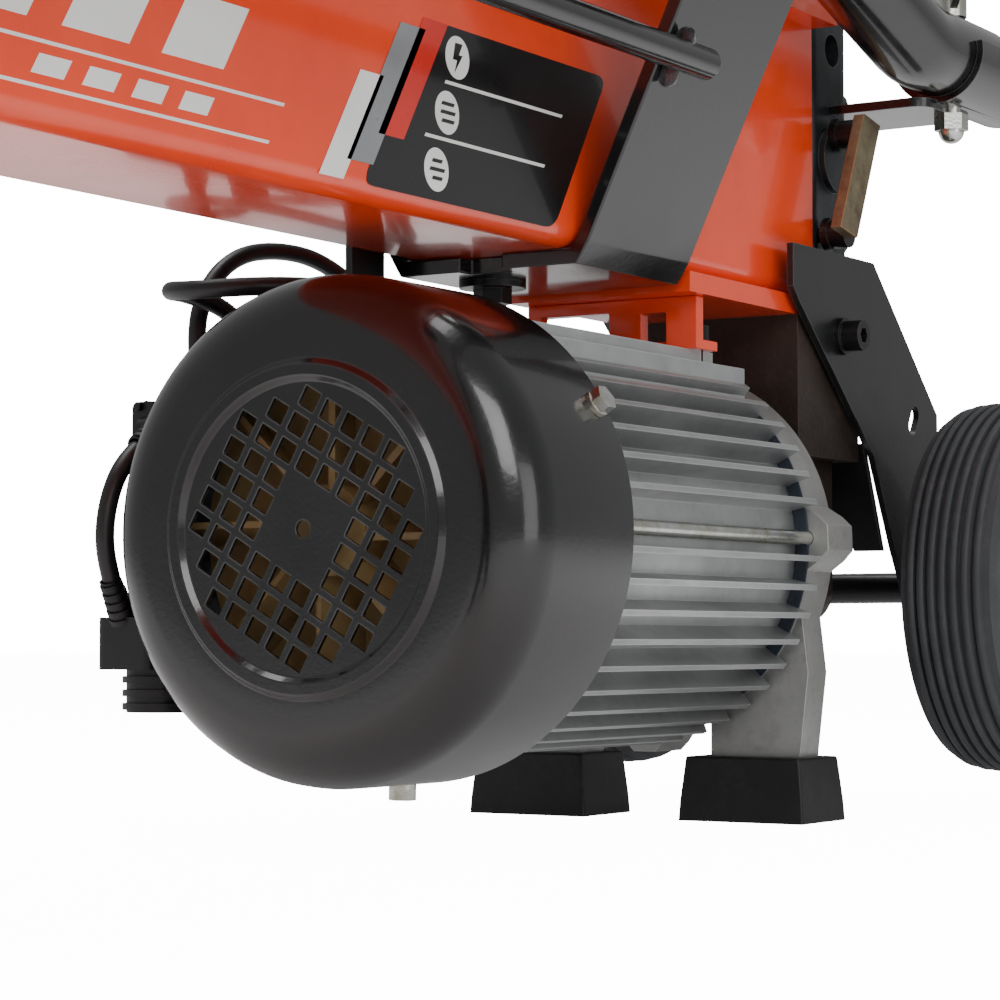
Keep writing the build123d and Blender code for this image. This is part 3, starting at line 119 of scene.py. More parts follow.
@dataclass(frozen=True)
class Finish:
    """One real surface finish.

    Sizes are in millimetres. The grain is the fine relief, the patches are slow changes of
    colour and gloss, and the rim is the colour along sharp edges: the cut-face colour on the
    bare strip, and a painted highlight on the other finishes that have one.
    """

    name: str
    colour: str
    patch_colour: str
    metallic: float
    roughness: float
    grain: Grain
    grain_mm: float
    relief_mm: float
    patch_mm: float = 45.0
    gloss_spread: float = 0.06
    coat: float = 0.0
    rim_colour: str = ""
    rim_mm: float = 0.8
    rim_amount: float = 0.5
    dust_colour: str = ""
    dust_amount: float = 0.0

    def stretch(self) -> Point:
        """Scale the grain along X, Y and Z, so that lines run the way the tool went.

        Returns:
            The three factors.
        """
        if self.grain is Grain.DRAWN:
            return (0.02, 1.0, 1.0)
        if self.grain is Grain.TURNED:
            return (1.0, 0.15, 0.15)
        return (1.0, 1.0, 1.0)

    def build(self) -> bpy.types.Material:
        """Make the material's node tree.

        Returns:
            The material, ready to be put on a mesh.
        """
        material = bpy.data.materials.new(self.name)
        material.use_nodes = True
        tree = material.node_tree
        tree.nodes.clear()
        place = add_node(tree, "ShaderNodeTexCoord").outputs["Object"]
        patches = add_node(tree, "ShaderNodeTexNoise", {
            "Vector": place, "Scale": 1 / (self.patch_mm * MM), "Detail": 5.0, "Roughness": 0.6})
        patch = add_node(tree, "ShaderNodeMapRange", {
            "Value": patches.outputs[0], "From Min": 0.36, "From Max": 0.66}).outputs[0]
        colour = add_node(tree, "ShaderNodeMix", {
            "Factor": patch, "A": linear(self.colour), "B": linear(self.patch_colour)},
            data_type="RGBA").outputs["Result"]
        stretched = add_node(tree, "ShaderNodeMapping", {"Vector": place, "Scale": self.stretch()})
        relief = self._relief(tree, stretched.outputs[0])
        if self.dust_colour:
            specks = add_node(tree, "ShaderNodeTexNoise", {
                "Vector": place, "Scale": 1 / (9 * MM), "Detail": 9.0, "Roughness": 0.72})
            cover = add_node(tree, "ShaderNodeMapRange", {
                "Value": specks.outputs[0], "From Min": 0.52, "From Max": 0.72,
                "To Max": self.dust_amount})
            colour = add_node(tree, "ShaderNodeMix", {
                "Factor": cover.outputs[0], "A": colour, "B": linear(self.dust_colour)},
                data_type="RGBA").outputs["Result"]
        # Rim colour along sharp edges: a painted highlight on most finishes, the cut-face colour on the bare
        # strip.
        if self.rim_colour:
            colour = add_node(tree, "ShaderNodeMix", {
                "Factor": self._rim(tree, patches.outputs[0]), "A": colour,
                "B": linear(self.rim_colour)}, data_type="RGBA").outputs["Result"]
        gloss = add_node(tree, "ShaderNodeMapRange", {
            "Value": patches.outputs[0], "From Min": 0.3, "From Max": 0.7,
            "To Min": max(0.04, self.roughness - self.gloss_spread),
            "To Max": min(1.0, self.roughness + self.gloss_spread)})
        bump = add_node(tree, "ShaderNodeBump", {
            "Height": relief, "Distance": self.relief_mm * MM, "Strength": 0.8})
        shader = add_node(tree, "ShaderNodeBsdfPrincipled", {
            "Base Color": colour, "Roughness": gloss.outputs[0], "Normal": bump.outputs[0],
            "Metallic": self.metallic, "Coat Weight": self.coat, "Coat Roughness": 0.08})
        add_node(tree, "ShaderNodeOutputMaterial", {"Surface": shader.outputs[0]})
        return material

    def _relief(self, tree: bpy.types.NodeTree, place: bpy.types.NodeSocket) -> bpy.types.NodeSocket:
        """Draw the fine relief.

        Args:
            tree: the material's node tree.
            place: where on the piece, stretched along the grain.

        Returns:
            Its height, from 0 to 1.
        """
        scale = 1 / (self.grain_mm * MM)
        if self.grain in (Grain.CAST, Grain.PLATE):
            cells = add_node(tree, "ShaderNodeTexVoronoi", {"Vector": place, "Scale": scale},
                             feature="SMOOTH_F1")
            return cells.outputs["Distance"]
        detail = 2.0 if self.grain is Grain.PEEL else 6.0
        noise = add_node(tree, "ShaderNodeTexNoise", {"Vector": place, "Scale": scale, "Detail": detail})
        return noise.outputs[0]

    def _rim(self, tree: bpy.types.NodeTree, patches: bpy.types.NodeSocket) -> bpy.types.NodeSocket:
        """Find how much of the rim colour shows: along sharp edges, broken up by the patches.

        Args:
            tree: the material's node tree.
            patches: the slow noise of the finish.

        Returns:
            The share of the rim colour, from 0 to 1.
        """
        rounded = add_node(tree, "ShaderNodeBevel", {"Radius": self.rim_mm * MM}, samples=4)
        true = add_node(tree, "ShaderNodeNewGeometry")
        along = add_node(tree, "ShaderNodeVectorMath", {
            0: rounded.outputs[0], 1: true.outputs["Normal"]}, operation="DOT_PRODUCT")
        # Edge mask where the rounded normal leaves the true one: a painted highlight on most finishes, the
        # cut-face colour on the bare strip.
        cut_edge_and_highlight = add_node(tree, "ShaderNodeMapRange", {
            "Value": along.outputs["Value"], "From Min": 0.995, "From Max": 0.93, "To Max": self.rim_amount})
        broken = add_node(tree, "ShaderNodeMapRange", {
            "Value": patches, "From Min": 0.35, "From Max": 0.5})
        both = add_node(tree, "ShaderNodeMath", {0: cut_edge_and_highlight.outputs[0], 1: broken.outputs[0]},
                        operation="MULTIPLY")
        return both.outputs[0]


# Powder coat, sprayed and baked: an even strong orange under a clear gloss, with faint orange peel.
ORANGE = Finish("orange_powder_coat_baked", "#F4481C", "#EB3F16", 0.0, 0.24, Grain.PEEL, 1.6, 0.05,
                coat=0.6, gloss_spread=0.04)
# Stoved enamel on folded plate: nearly black and glossy, with a painted highlight in pale grey along the
# folded edges.
BLACK_GLOSS = Finish("black_enamel_stoved", "#08090A", "#0C0D0E", 0.0, 0.22, Grain.PEEL, 2.0, 0.07,
                     coat=0.55, rim_colour="#77797C", rim_amount=0.55)
# Powder coat over pressed steel: black with a satin sheen and a fine even peel. Its grey rim along sharp
# edges is a painted highlight.
BLACK_SATIN = Finish("black_powder_coat_satin", "#0D0E0F", "#131415", 0.0, 0.38, Grain.PEEL, 1.3, 0.09,
                     coat=0.15, rim_colour="#77797C", rim_mm=0.6, rim_amount=0.55)
# Extruded aluminium: a bright soft grey with draw lines along the barrel. Its near-white rim along sharp
# edges is a painted highlight.
FINNED = Finish("aluminium_extruded", "#BDBFBF", "#A5A7A7", 0.8, 0.42, Grain.DRAWN, 0.9, 0.05,
                rim_colour="#F0F1F2", rim_amount=0.6, dust_colour="#77797A", dust_amount=0.25)
# Die-cast aluminium: a duller grey with a pitted skin. Its pale rim along sharp edges is a painted highlight.
CAST_ALLOY = Finish("aluminium_die_cast", "#AEAEAC", "#979795", 0.75, 0.48, Grain.CAST, 1.8, 0.12,
                    rim_colour="#DADCDD", rim_amount=0.5, dust_colour="#6A6762", dust_amount=0.3)
# Zinc electroplate: bright and cool, with small patches of yellow passivation.
ZINC = Finish("steel_zinc_plated", "#D5D7D6", "#B9B7A4", 1.0, 0.24, Grain.PLATE, 1.1, 0.03, patch_mm=9)
# Chemical black on screws: dark steel with a painted highlight in grey along the edges.
OXIDE = Finish("steel_black_oxide", "#232425", "#2D2C2B", 0.7, 0.34, Grain.TURNED, 0.6, 0.03,
               rim_colour="#8B8C8C", rim_mm=0.4, patch_mm=12)
# Laser-cut hot-rolled strip left bare: khaki scale with copper-brown cut faces.
RAW_STRIP = Finish("steel_hot_rolled_bare", "#8D8567", "#6E5C48", 0.75, 0.46, Grain.CAST, 1.4, 0.08,
                   patch_mm=14, rim_colour="#B07A50", rim_mm=1.2, rim_amount=0.8,
                   dust_colour="#4A3527", dust_amount=0.5)
# Hard chrome, ground and polished: a mirror with very fine turning lines.
CHROME = Finish("steel_hard_chromed", "#DDE0E3", "#CFD3D8", 1.0, 0.08, Grain.TURNED, 0.5, 0.01,
                gloss_spread=0.02)
# Machined iron wiped with oil: dark blue-grey, uneven gloss. Its light grey rim along sharp edges is a
# painted highlight.
IRON_BLOCK = Finish("iron_machined_oiled", "#4A4D50", "#35383B", 0.8, 0.42, Grain.CAST, 1.6, 0.08,
                    rim_colour="#9A9C9E", rim_amount=0.5, dust_colour="#2A2522", dust_amount=0.4)
# Cast iron in black paint, given a brown tint as a painted warm reflection and a lighter brown rim as a
# painted highlight: rough and nearly without shine.
PUMP_IRON = Finish("iron_cast_black_painted_reflection", "#241B17", "#31261F", 0.1, 0.5, Grain.CAST, 2.2, 0.25,
                   rim_colour="#5C4A3E", rim_amount=0.5, dust_colour="#4D3D32", dust_amount=0.35)
# Stacked steel sheets: grey with lines across the stack.
LAMINATED = Finish("steel_laminated", "#6B6C70", "#55565A", 0.9, 0.45, Grain.TURNED, 0.5, 0.1)
# Enamelled copper wire under varnish: warm brown-red strands.
WINDING = Finish("copper_wire_varnished", "#B5683C", "#7C4022", 0.8, 0.35, Grain.TURNED, 1.2, 0.4, coat=0.4)
# Ground and hardened steel: light grey with a fine grind.
GROUND = Finish("steel_ground", "#A9ABAE", "#96989B", 1.0, 0.28, Grain.TURNED, 0.5, 0.03)
# Moulded rubber: black with a soft bloom, which makes it greyer in patches.
BOOT = Finish("rubber_moulded", "#080808", "#0F0F0E", 0.0, 0.52, Grain.MOULD, 0.8, 0.08,
              dust_colour="#3B3A38", dust_amount=0.2)
# Tyre rubber: dark grey and matt, with dust in its grain.
TYRE = Finish("rubber_tyre_solid", "#3A3C3F", "#2F3033", 0.0, 0.62, Grain.MOULD, 0.9, 0.12,
              dust_colour="#56575A", dust_amount=0.3)
# Polypropylene, moulded: black with a fine spark texture.
PLASTIC = Finish("polypropylene_moulded", "#0E0F10", "#141516", 0.0, 0.42, Grain.MOULD, 0.6, 0.06)
# Glass-filled nylon, moulded: khaki beige and satin.
FAN_NYLON = Finish("nylon_glass_filled", "#B49A6A", "#9C8358", 0.0, 0.45, Grain.MOULD, 1.0, 0.08)
# Phenolic knob, polished: deep black and wet-looking.
KNOB = Finish("phenolic_polished", "#0C0C0D", "#111112", 0.0, 0.12, Grain.PEEL, 3.0, 0.01, coat=0.8)
RED_PLASTIC = Finish("abs_moulded_red", "#C3211B", "#AF1C17", 0.0, 0.28, Grain.MOULD, 0.6, 0.04)
GREEN_PLASTIC = Finish("abs_moulded_green", "#1E8A3B", "#1A7A34", 0.0, 0.28, Grain.MOULD, 0.6, 0.04)
# Rubber-sheathed lead: black, satin, faintly uneven from extrusion.
SHEATH = Finish("rubber_sheath_extruded", "#191718", "#211F1F", 0.0, 0.4, Grain.MOULD, 1.2, 0.06, patch_mm=20)
# Printed vinyl film: flat colour under a thin clear layer, with a trace of dust.
FILM_BLACK = Finish("vinyl_film_black", "#0A0A0B", "#0E0E0F", 0.0, 0.3, Grain.PEEL, 2.5, 0.02, coat=0.5)
FILM_WHITE = Finish("vinyl_film_white", "#F2F2F0", "#E7E7E4", 0.0, 0.32, Grain.PEEL, 2.5, 0.02, coat=0.5)
FILM_GREY = Finish("vinyl_film_grey", "#8B8D8F", "#7F8183", 0.0, 0.32, Grain.PEEL, 2.5, 0.02, coat=0.5)
FILM_RED = Finish("vinyl_film_red", "#D9291C", "#C92418", 0.0, 0.3, Grain.PEEL, 2.5, 0.02, coat=0.5)
# Weld metal: rippled steel painted over; its grey patches and pale edges are a painted highlight, standing in
# for glints on the ripples.
WELD = Finish("steel_weld_painted", "#3A3B3E", "#77797C", 0.6, 0.34, Grain.CAST, 1.5, 0.3, patch_mm=8,
              rim_colour="#A7A9AC", rim_amount=0.6)
# Gasket board: dark blue-grey and matt.
GASKET = Finish("gasket_board_pressed", "#2B3440", "#232B35", 0.0, 0.6, Grain.MOULD, 0.8, 0.05)

SLOT_FINISH: dict[str, Finish] = {
    "orange_paint": ORANGE, "black_paint": BLACK_SATIN, "black_gloss": BLACK_GLOSS, "zinc": ZINC,
    "black_oxide": OXIDE, "raw_steel": RAW_STRIP, "chrome": CHROME, "block_iron": IRON_BLOCK,
    "pump_iron": PUMP_IRON, "fin_aluminium": FINNED, "cast_aluminium": CAST_ALLOY,
    "lamination": LAMINATED, "copper": WINDING, "gear_steel": GROUND, "boot_rubber": BOOT,
    "seal_rubber": BOOT, "tyre_rubber": TYRE, "wheel_plastic": PLASTIC, "black_plastic": PLASTIC,
    "fan_plastic": FAN_NYLON, "knob_plastic": KNOB, "red_plastic": RED_PLASTIC,
    "green_plastic": GREEN_PLASTIC, "lead_rubber": SHEATH,
}
_built: dict[str, bpy.types.Material] = {}


def material_of(finish: Finish) -> bpy.types.Material:
    """Build the material of a finish, the first time it is asked for.

    Args:
        finish: the surface finish.

    Returns:
        Its material.
    """
    if finish.name not in _built:
        _built[finish.name] = finish.build()
    return _built[finish.name]


# ---------------------------------------------------------------- meshes
def put(name: str, points: Sequence[Sequence[float]], faces: Sequence[Sequence[int]], finish: Finish,
        body: str, smooth: bool = True, bevel_mm: float = 0.0) -> bpy.types.Object:
    """Make a piece from points and faces, give it a finish and let it ride on a body.

    Args:
        name: the piece's name.
        points: corners in metres, in the frame.
        faces: corner numbers of each face.
        finish: its surface finish.
        body: CAD body it rides on.
        smooth: shade it smooth below 35 degrees.
        bevel_mm: width of the rounding on its sharp edges, or 0.

    Returns:
        The new object.
    """
    mesh = bpy.data.meshes.new(name)
    mesh.from_pydata([tuple(p) for p in points], [], [tuple(f) for f in faces])
    work = bmesh.new()
    work.from_mesh(mesh)
    bmesh.ops.remove_doubles(work, verts=work.verts, dist=1e-6)
    bmesh.ops.recalc_face_normals(work, faces=work.faces)
    for edge in work.edges:
        edge.smooth = len(edge.link_faces) == 2 and edge.calc_face_angle() < math.radians(35)
    for face in work.faces:
        face.smooth = smooth
    work.to_mesh(mesh)
    work.free()
    piece = bpy.data.objects.new(name, mesh)
    bpy.context.scene.collection.objects.link(piece)
    mesh.materials.append(material_of(finish))
    if bevel_mm:
        round_edges(piece, bevel_mm)
    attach(piece, body)
    LOG.info("%s: %d faces on %s", name, len(mesh.polygons), body)
    return piece


def round_edges(piece: bpy.types.Object, width_mm: float) -> None:
    """Add a small rounding along the sharp edges of a piece.

    Args:
        piece: the object.
        width_mm: width of the rounding.
    """
    bevel = piece.modifiers.new("edge_rounding", "BEVEL")
    bevel.width = width_mm * MM
    bevel.segments = 2
    bevel.limit_method = "ANGLE"
    bevel.angle_limit = math.radians(35)
    bevel.harden_normals = True


def slab(outline: Sequence[Flat], low: float, high: float) -> tuple[list[Point], list[list[int]]]:
    """Make a closed prism on an outline, between two Y values.

    Args:
        outline: (x, z) corners in metres.
        low: the lower Y.
        high: the higher Y.

    Returns:
        Points and faces.
    """
    count = len(outline)
    points = [(x, low, z) for x, z in outline] + [(x, high, z) for x, z in outline]
    faces = [list(range(count)), list(range(2 * count - 1, count - 1, -1))]
    faces += [[i, i + count, (i + 1) % count + count, (i + 1) % count] for i in range(count)]
    return points, faces


def rounded(corners: Sequence[Flat], radius: float, steps: int = 6) -> list[Flat]:
    """Replace each corner of an outline by a curve that starts one radius before it.

    Args:
        corners: (x, z) corners in metres.
        radius: how far from the corner the curve starts.
        steps: divisions of each curve.

    Returns:
        The new outline.
    """
    result = []
    count = len(corners)
    for i, corner in enumerate(corners):
        here = Vector(corner)
        before = (Vector(corners[i - 1]) - here).normalized() * radius
        after = (Vector(corners[(i + 1) % count]) - here).normalized() * radius
        for step in range(steps + 1):
            t = step / steps
            spot = here + before * (1 - t) ** 2 + after * t ** 2
            result.append((spot.x, spot.y))
    return result


def disc(x: float, z: float, radius: float, steps: int = 40) -> list[Flat]:
    """Make a round outline.

    Args:
        x: centre along X.
        z: centre along Z.
        radius: its radius in metres.
        steps: how many corners it has.

    Returns:
        The (x, z) outline.
    """
    turns = [2 * math.pi * i / steps for i in range(steps)]
    return [(x + radius * math.cos(a), z + radius * math.sin(a)) for a in turns]


def lathe(profile: Sequence[tuple[float, float]], centre: Point, axis: Point,
          steps: int = 96) -> tuple[list[Point], list[list[int]]]:
    """Closed ring from a closed (along, radius) profile turned about an axis.

    Args:
        profile: closed section in metres.
        centre: a point on the axis, from which "along" is counted.
        axis: direction of the axis.
        steps: divisions round the axis.

    Returns:
        Points and faces.
    """
    line = Vector(axis).normalized()
    across = line.orthogonal().normalized()
    points, faces, count = [], [], len(profile)
    for i in range(steps):
        outwards = Matrix.Rotation(2 * math.pi * i / steps, 3, line) @ across
        points += [tuple(Vector(centre) + line * a + outwards * r) for a, r in profile]
    for i in range(steps):
        for j in range(count):
            near, far, k = i * count, (i + 1) % steps * count, (j + 1) % count
            faces.append([near + j, near + k, far + k, far + j])
    return points, faces


def soften(node: bpy.types.Object, width_mm: float) -> None:
    """Weld a CAD node's facets, shade it by angle and round its edges, all as modifiers.

    Args:
        node: the CAD node's object.
        width_mm: width of the edge rounding.
    """
    modifier = node.modifiers.new("shade_by_angle", "NODES")
    modifier.node_group = angle_shading()
    if width_mm:
        round_edges(node, width_mm)


def angle_shading() -> bpy.types.NodeTree:
    """Make the geometry nodes that join doubled points and shade smooth below 30 degrees.

    Returns:
        The node group, made once.
    """
    if "shade_by_angle" in bpy.data.node_groups:
        return bpy.data.node_groups["shade_by_angle"]
    tree = bpy.data.node_groups.new("shade_by_angle", "GeometryNodeTree")
    tree.interface.new_socket("Geometry", in_out="INPUT", socket_type="NodeSocketGeometry")
    tree.interface.new_socket("Geometry", in_out="OUTPUT", socket_type="NodeSocketGeometry")
    start = add_node(tree, "NodeGroupInput")
    joined = add_node(tree, "GeometryNodeMergeByDistance", {
        "Geometry": start.outputs[0], "Distance": 1e-6})
    plain = add_node(tree, "GeometryNodeRemoveAttribute", {
        "Geometry": joined.outputs[0], "Name": "custom_normal"})
    smooth = add_node(tree, "GeometryNodeSetShadeSmooth", {"Geometry": plain.outputs[0]}, domain="FACE")
    angle = add_node(tree, "GeometryNodeInputMeshEdgeAngle")
    sharp = add_node(tree, "FunctionNodeCompare", {
        "A": angle.outputs[0], "B": math.radians(30)}, operation="GREATER_THAN")
    creased = add_node(tree, "GeometryNodeSetShadeSmooth", {
        "Geometry": smooth.outputs[0], "Selection": sharp.outputs[0], "Shade Smooth": False}, domain="EDGE")
    add_node(tree, "NodeGroupOutput", {0: creased.outputs[0]})
    return tree


# ---------------------------------------------------------------- stage and camera
@dataclass
class Studio:
    """White table, soft lights and the camera."""

    eye: Point = (-0.685, -0.572, 0.073)
    turn_deg: float = 32.0
    rise_deg: float = 2.78
    lens_mm: float = 103.7
    sensor_mm: float = 36.0
    surround: float = 0.42
    backdrop: float = 16.0
    floor_glow: float = 14.0
    floor_bounce: float = 0.15

    def camera(self) -> None:
        """Stand the camera low beside the wedge end, looking back at the motor."""
        data = bpy.data.cameras.new("camera")
        data.lens = self.lens_mm
        data.sensor_width = self.sensor_mm
        data.clip_start, data.clip_end = 0.01, 50
        camera = bpy.data.objects.new("camera", data)
        turn, rise = math.radians(self.turn_deg), math.radians(self.rise_deg)
        ahead = Vector((math.cos(turn) * math.cos(rise), math.sin(turn) * math.cos(rise), math.sin(rise)))
        camera.location = self.eye
        camera.rotation_euler = ahead.to_track_quat("-Z", "Y").to_euler()
        bpy.context.scene.collection.objects.link(camera)
        bpy.context.scene.camera = camera

    def table(self) -> None:
        """Lay the pale floor."""
        size = 14.0
        work = bmesh.new()
        bmesh.ops.create_circle(work, cap_ends=True, segments=96, radius=size)
        mesh = bpy.data.meshes.new("floor")
        work.to_mesh(mesh)
        work.free()
        floor = bpy.data.objects.new("floor", mesh)
        bpy.context.scene.collection.objects.link(floor)
        paper = bpy.data.materials.new("paper_white")
        paper.use_nodes = True
        shader = paper.node_tree.nodes["Principled BSDF"]
        shader.inputs["Base Color"].default_value = linear("#FAFAFA")
        shader.inputs["Roughness"].default_value = 0.9
        shader.inputs["Specular IOR Level"].default_value = 0.1
        shader.inputs["Emission Color"].default_value = linear("#FFFFFF")
        tree = paper.node_tree
        rays = tree.nodes.new("ShaderNodeLightPath")
        glow = tree.nodes.new("ShaderNodeMapRange")
        glow.inputs["To Min"].default_value = self.floor_bounce
        glow.inputs["To Max"].default_value = self.floor_glow
        tree.links.new(rays.outputs["Is Camera Ray"], glow.inputs["Value"])
        tree.links.new(glow.outputs["Result"], shader.inputs["Emission Strength"])
        mesh.materials.append(paper)

    def lights(self) -> None:
        """Hang three soft boxes in a white surround, which the camera sees brighter than the object."""
        world = bpy.data.worlds.new("surround")
        world.use_nodes = True
        tree = world.node_tree
        backdrop = tree.nodes["Background"]
        backdrop.inputs["Color"].default_value = (1, 1, 1, 1)
        rays = tree.nodes.new("ShaderNodeLightPath")
        strength = tree.nodes.new("ShaderNodeMapRange")
        strength.inputs["To Min"].default_value = self.surround
        strength.inputs["To Max"].default_value = self.backdrop
        tree.links.new(rays.outputs["Is Camera Ray"], strength.inputs["Value"])
        tree.links.new(strength.outputs["Result"], backdrop.inputs["Strength"])
        bpy.context.scene.world = world
        boxes = [("key", (-1.4, -1.6, 1.5), (0.2, 0.0, 0.2), 1.3, 28.0),
                 ("fill", (-0.2, -2.2, 0.5), (0.3, 0.0, 0.15), 1.1, 7.0),
                 ("top", (0.3, 0.3, 2.0), (0.3, 0.0, 0.2), 1.4, 24.0)]
        for name, place, target, size, power in boxes:
            data = bpy.data.lights.new(name, "AREA")
            data.shape, data.size, data.energy = "SQUARE", size, power
            light = bpy.data.objects.new(name, data)
            light.location = place
            light.rotation_euler = (Vector(target) - Vector(place)).to_track_quat("-Z", "Y").to_euler()
            bpy.context.scene.collection.objects.link(light)


# ---------------------------------------------------------------- leads
@dataclass
class Lead:
    """One round lead between two glands."""

    node: str
    route_mm: Sequence[Point]
    length_mm: float
    diameter: float = 7 * MM

    def build(self) -> None:
        curve = bpy.data.curves.new(self.node + "_sheath", "CURVE")
        curve.dimensions = "3D"
        curve.bevel_depth = self.diameter / 2
        curve.bevel_resolution = 8
        curve.resolution_u = 16
        curve.use_fill_caps = True
        spline = curve.splines.new("NURBS")
        spline.points.add(len(self.route_mm) - 1)
        for point, (x, y, z) in zip(spline.points, self.route_mm):
            point.co = (x * MM, y * MM, z * MM, 1)
        spline.order_u = 3
        spline.use_endpoint_u = True
        piece = bpy.data.objects.new(self.node + "_sheath", curve)
        bpy.context.scene.collection.objects.link(piece)
        curve.materials.append(material_of(SHEATH))
        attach(piece, "frame")
        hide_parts(self.node)
        self.relief("near", self.route_mm[0], self.route_mm[1])
        self.relief("far", self.route_mm[-1], self.route_mm[-2])

    def relief(self, end: str, root: Point, towards: Point) -> None:
        """Fit the ribbed, tapered sleeve at one end of the lead.

        Args:
            end: word for the end.
            root: where the lead leaves its gland, in millimetres.
            towards: the next point of the route.
        """
        axis = (Vector(towards) - Vector(root)).normalized()
        profile = [(-1.0, 3.3)]
        for i in range(5):
            wide, foot = 5.6 - 0.32 * i, 3.4 * i - 1.0
            narrow = wide - 0.9
            profile += [(foot, wide), (foot + 2.2, wide), (foot + 2.3, narrow), (foot + 3.3, narrow)]
        profile += [(16.2, 4.0), (16.2, 3.3)]
        section = [(a * MM, r * MM) for a, r in profile]
        points, faces = lathe(section, tuple(Vector(root) * MM), tuple(axis), 40)
        put(f"{self.node}_sleeve_{end}", points, faces, BOOT, "frame")


LEADS = (
    Lead("motor_lead", [(200, 118, 168), (195, 118, 190), (203, 118, 211), (221, 117, 225), (246, 116, 230),
                        (272, 114, 229), (298, 112, 219), (316, 109, 199), (321, 105, 172)], 199),
    Lead("loop_lead", [(222, 106, 168), (220, 107, 187), (204, 107, 201), (178, 109, 205), (155, 100, 203),
                       (146, 80, 201), (154, 60, 202), (178, 52, 204), (207, 53, 205), (238, 58, 205),
                       (268, 68, 203), (291, 81, 194), (302, 92, 177), (304, 96, 160)], 315),
    Lead("inlet_lead", [(163, 108, 152), (143, 108, 142), (132, 109, 122), (133, 110, 100),
                        (144.3, 110, 81.3)], 88),
)


# ---------------------------------------------------------------- sticker
@dataclass
class Sticker:
    """Film on the beam's side: a black panel with plain icons, and slanted bars."""

    face_y: float = -38.0 * MM
    film: float = 0.25 * MM
    low: float = 222.0 * MM
    high: float = 283.5 * MM
    slant: float = 0.62
    panel: Flat = (84.5 * MM, 206.5 * MM)
    panel_corner: float = 7 * MM
    separator: Flat = (108 * MM, 186 * MM)
    separator_levels: Flat = (243.2 * MM, 263.2 * MM)
    icon_x: float = 128.5 * MM
    icon_levels: Point = (232.7 * MM, 253.2 * MM, 273.3 * MM)
    icon_lean: float = 0.52
    red: tuple[float, ...] = (93.5 * MM, 108.5 * MM, 240 * MM, 283.5 * MM)
    grey: tuple[float, ...] = (75.5 * MM, 90.5 * MM, 229 * MM, 279.5 * MM)
    white: tuple[float, ...] = (60 * MM, 73.5 * MM, 222 * MM, 259.5 * MM)
    line_start: float = -420 * MM
    line_end: float = 33 * MM
    line_levels: Flat = (227.5 * MM, 240.5 * MM)
    line_height: float = 1.1 * MM
    block_start: float = -78 * MM
    block_pitch: float = 22 * MM
    block_length: float = 14 * MM
    block_levels: Flat = (231.5 * MM, 237.5 * MM)
    band_start: float = -110 * MM
    band_pitch: float = 45 * MM
    band_length: float = 30 * MM
    band_levels: Flat = (247 * MM, 268 * MM)
    dot: float = 7.5 * MM

    def bar(self, x0: float, x1: float, low: float, high: float) -> list[Flat]:
        """Make a slanted four-sided outline, in metres.

        Args:
            x0: front end of its foot.
            x1: rear end of its foot.
            low: height of its foot.
            high: height of its top.

        Returns:
            The (x, z) outline.
        """
        lean = (high - low) * self.slant
        return [(x0, low), (x1, low), (x1 + lean, high), (x0 + lean, high)]

    def lay(self, name: str, outline: Sequence[Flat], finish: Finish, layer: int) -> None:
        """Lay one piece of film on the beam, on top of the layers below it.

        Args:
            name: word for the piece.
            outline: its (x, z) outline.
            finish: its film.
            layer: 1 on the paint, 2 and 3 above that.
        """
        base = self.face_y - self.film * (layer - 1) * 0.5
        points, faces = slab(outline, base - self.film * 0.5, base)
        put("film_" + name, points, faces, finish, "frame", smooth=False)

    def build(self) -> None:
        """Lay the panel, its separators and icons, and the bars ahead of it."""
        low, high = self.low, self.high
        panel = rounded(self.bar(*self.panel, low, high), self.panel_corner)
        self.lay("panel", panel, FILM_BLACK, 1)
        front, rear = self.separator
        for i, level in enumerate(self.separator_levels):
            lean = (level - low) * self.slant
            line = self.bar(front + lean, rear + lean, level, level + 1.2 * MM)
            self.lay(f"separator_{i}", line, FILM_WHITE, 2)
        for i, z in enumerate(self.icon_levels):
            x = self.icon_x + (z - self.icon_levels[0]) * self.slant * self.icon_lean
            self.lay(f"icon_{i}", disc(x, z, self.dot), FILM_WHITE, 2)
            self.icon(i, x, z)
        self.lay("red_bar", self.bar(*self.red), FILM_RED, 2)
        self.lay("grey_bar", self.bar(*self.grey), FILM_GREY, 2)
        self.lay("white_bar", self.bar(*self.white), FILM_WHITE, 2)
        for i, z in enumerate(self.line_levels):
            line = self.bar(self.line_start, self.line_end + 8 * MM * i, z, z + self.line_height)
            self.lay(f"line_{i}", line, FILM_WHITE, 1)
        for i in range(4):
            start = self.block_start + self.block_pitch * i
            block = self.bar(start, start + self.block_length, *self.block_levels)
            self.lay(f"block_{i}", block, FILM_WHITE, 1)
        for i in range(3):
            start = self.band_start + self.band_pitch * i
            band = self.bar(start, start + self.band_length, *self.band_levels)
            self.lay(f"band_{i}", band, FILM_WHITE, 1)

    def icon(self, number: int, x: float, z: float) -> None:
        """Lay a plain mark inside a round icon: three lines, or a bolt in the top one.

        Args:
            number: the icon's number from below.
            x: its centre along X.
            z: its centre along Z.
        """
        if number == 2:
            mark = [(x - 0.0015, z + 0.005), (x + 0.003, z + 0.005), (x + 0.0007, z + 0.001),
                    (x + 0.003, z + 0.001), (x - 0.002, z - 0.0055), (x - 0.0003, z - 0.001),
                    (x - 0.003, z - 0.001)]
            self.lay("mark_bolt", mark, FILM_BLACK, 3)
            return
        for i in range(3):
            level = z - 0.0036 + 0.003 * i
            half = 0.0045 if i == 1 else 0.003 + 0.0008 * number
            self.lay(f"mark_{number}_{i}", self.bar(x - half, x + half, level, level + 0.0013), FILM_BLACK, 3)


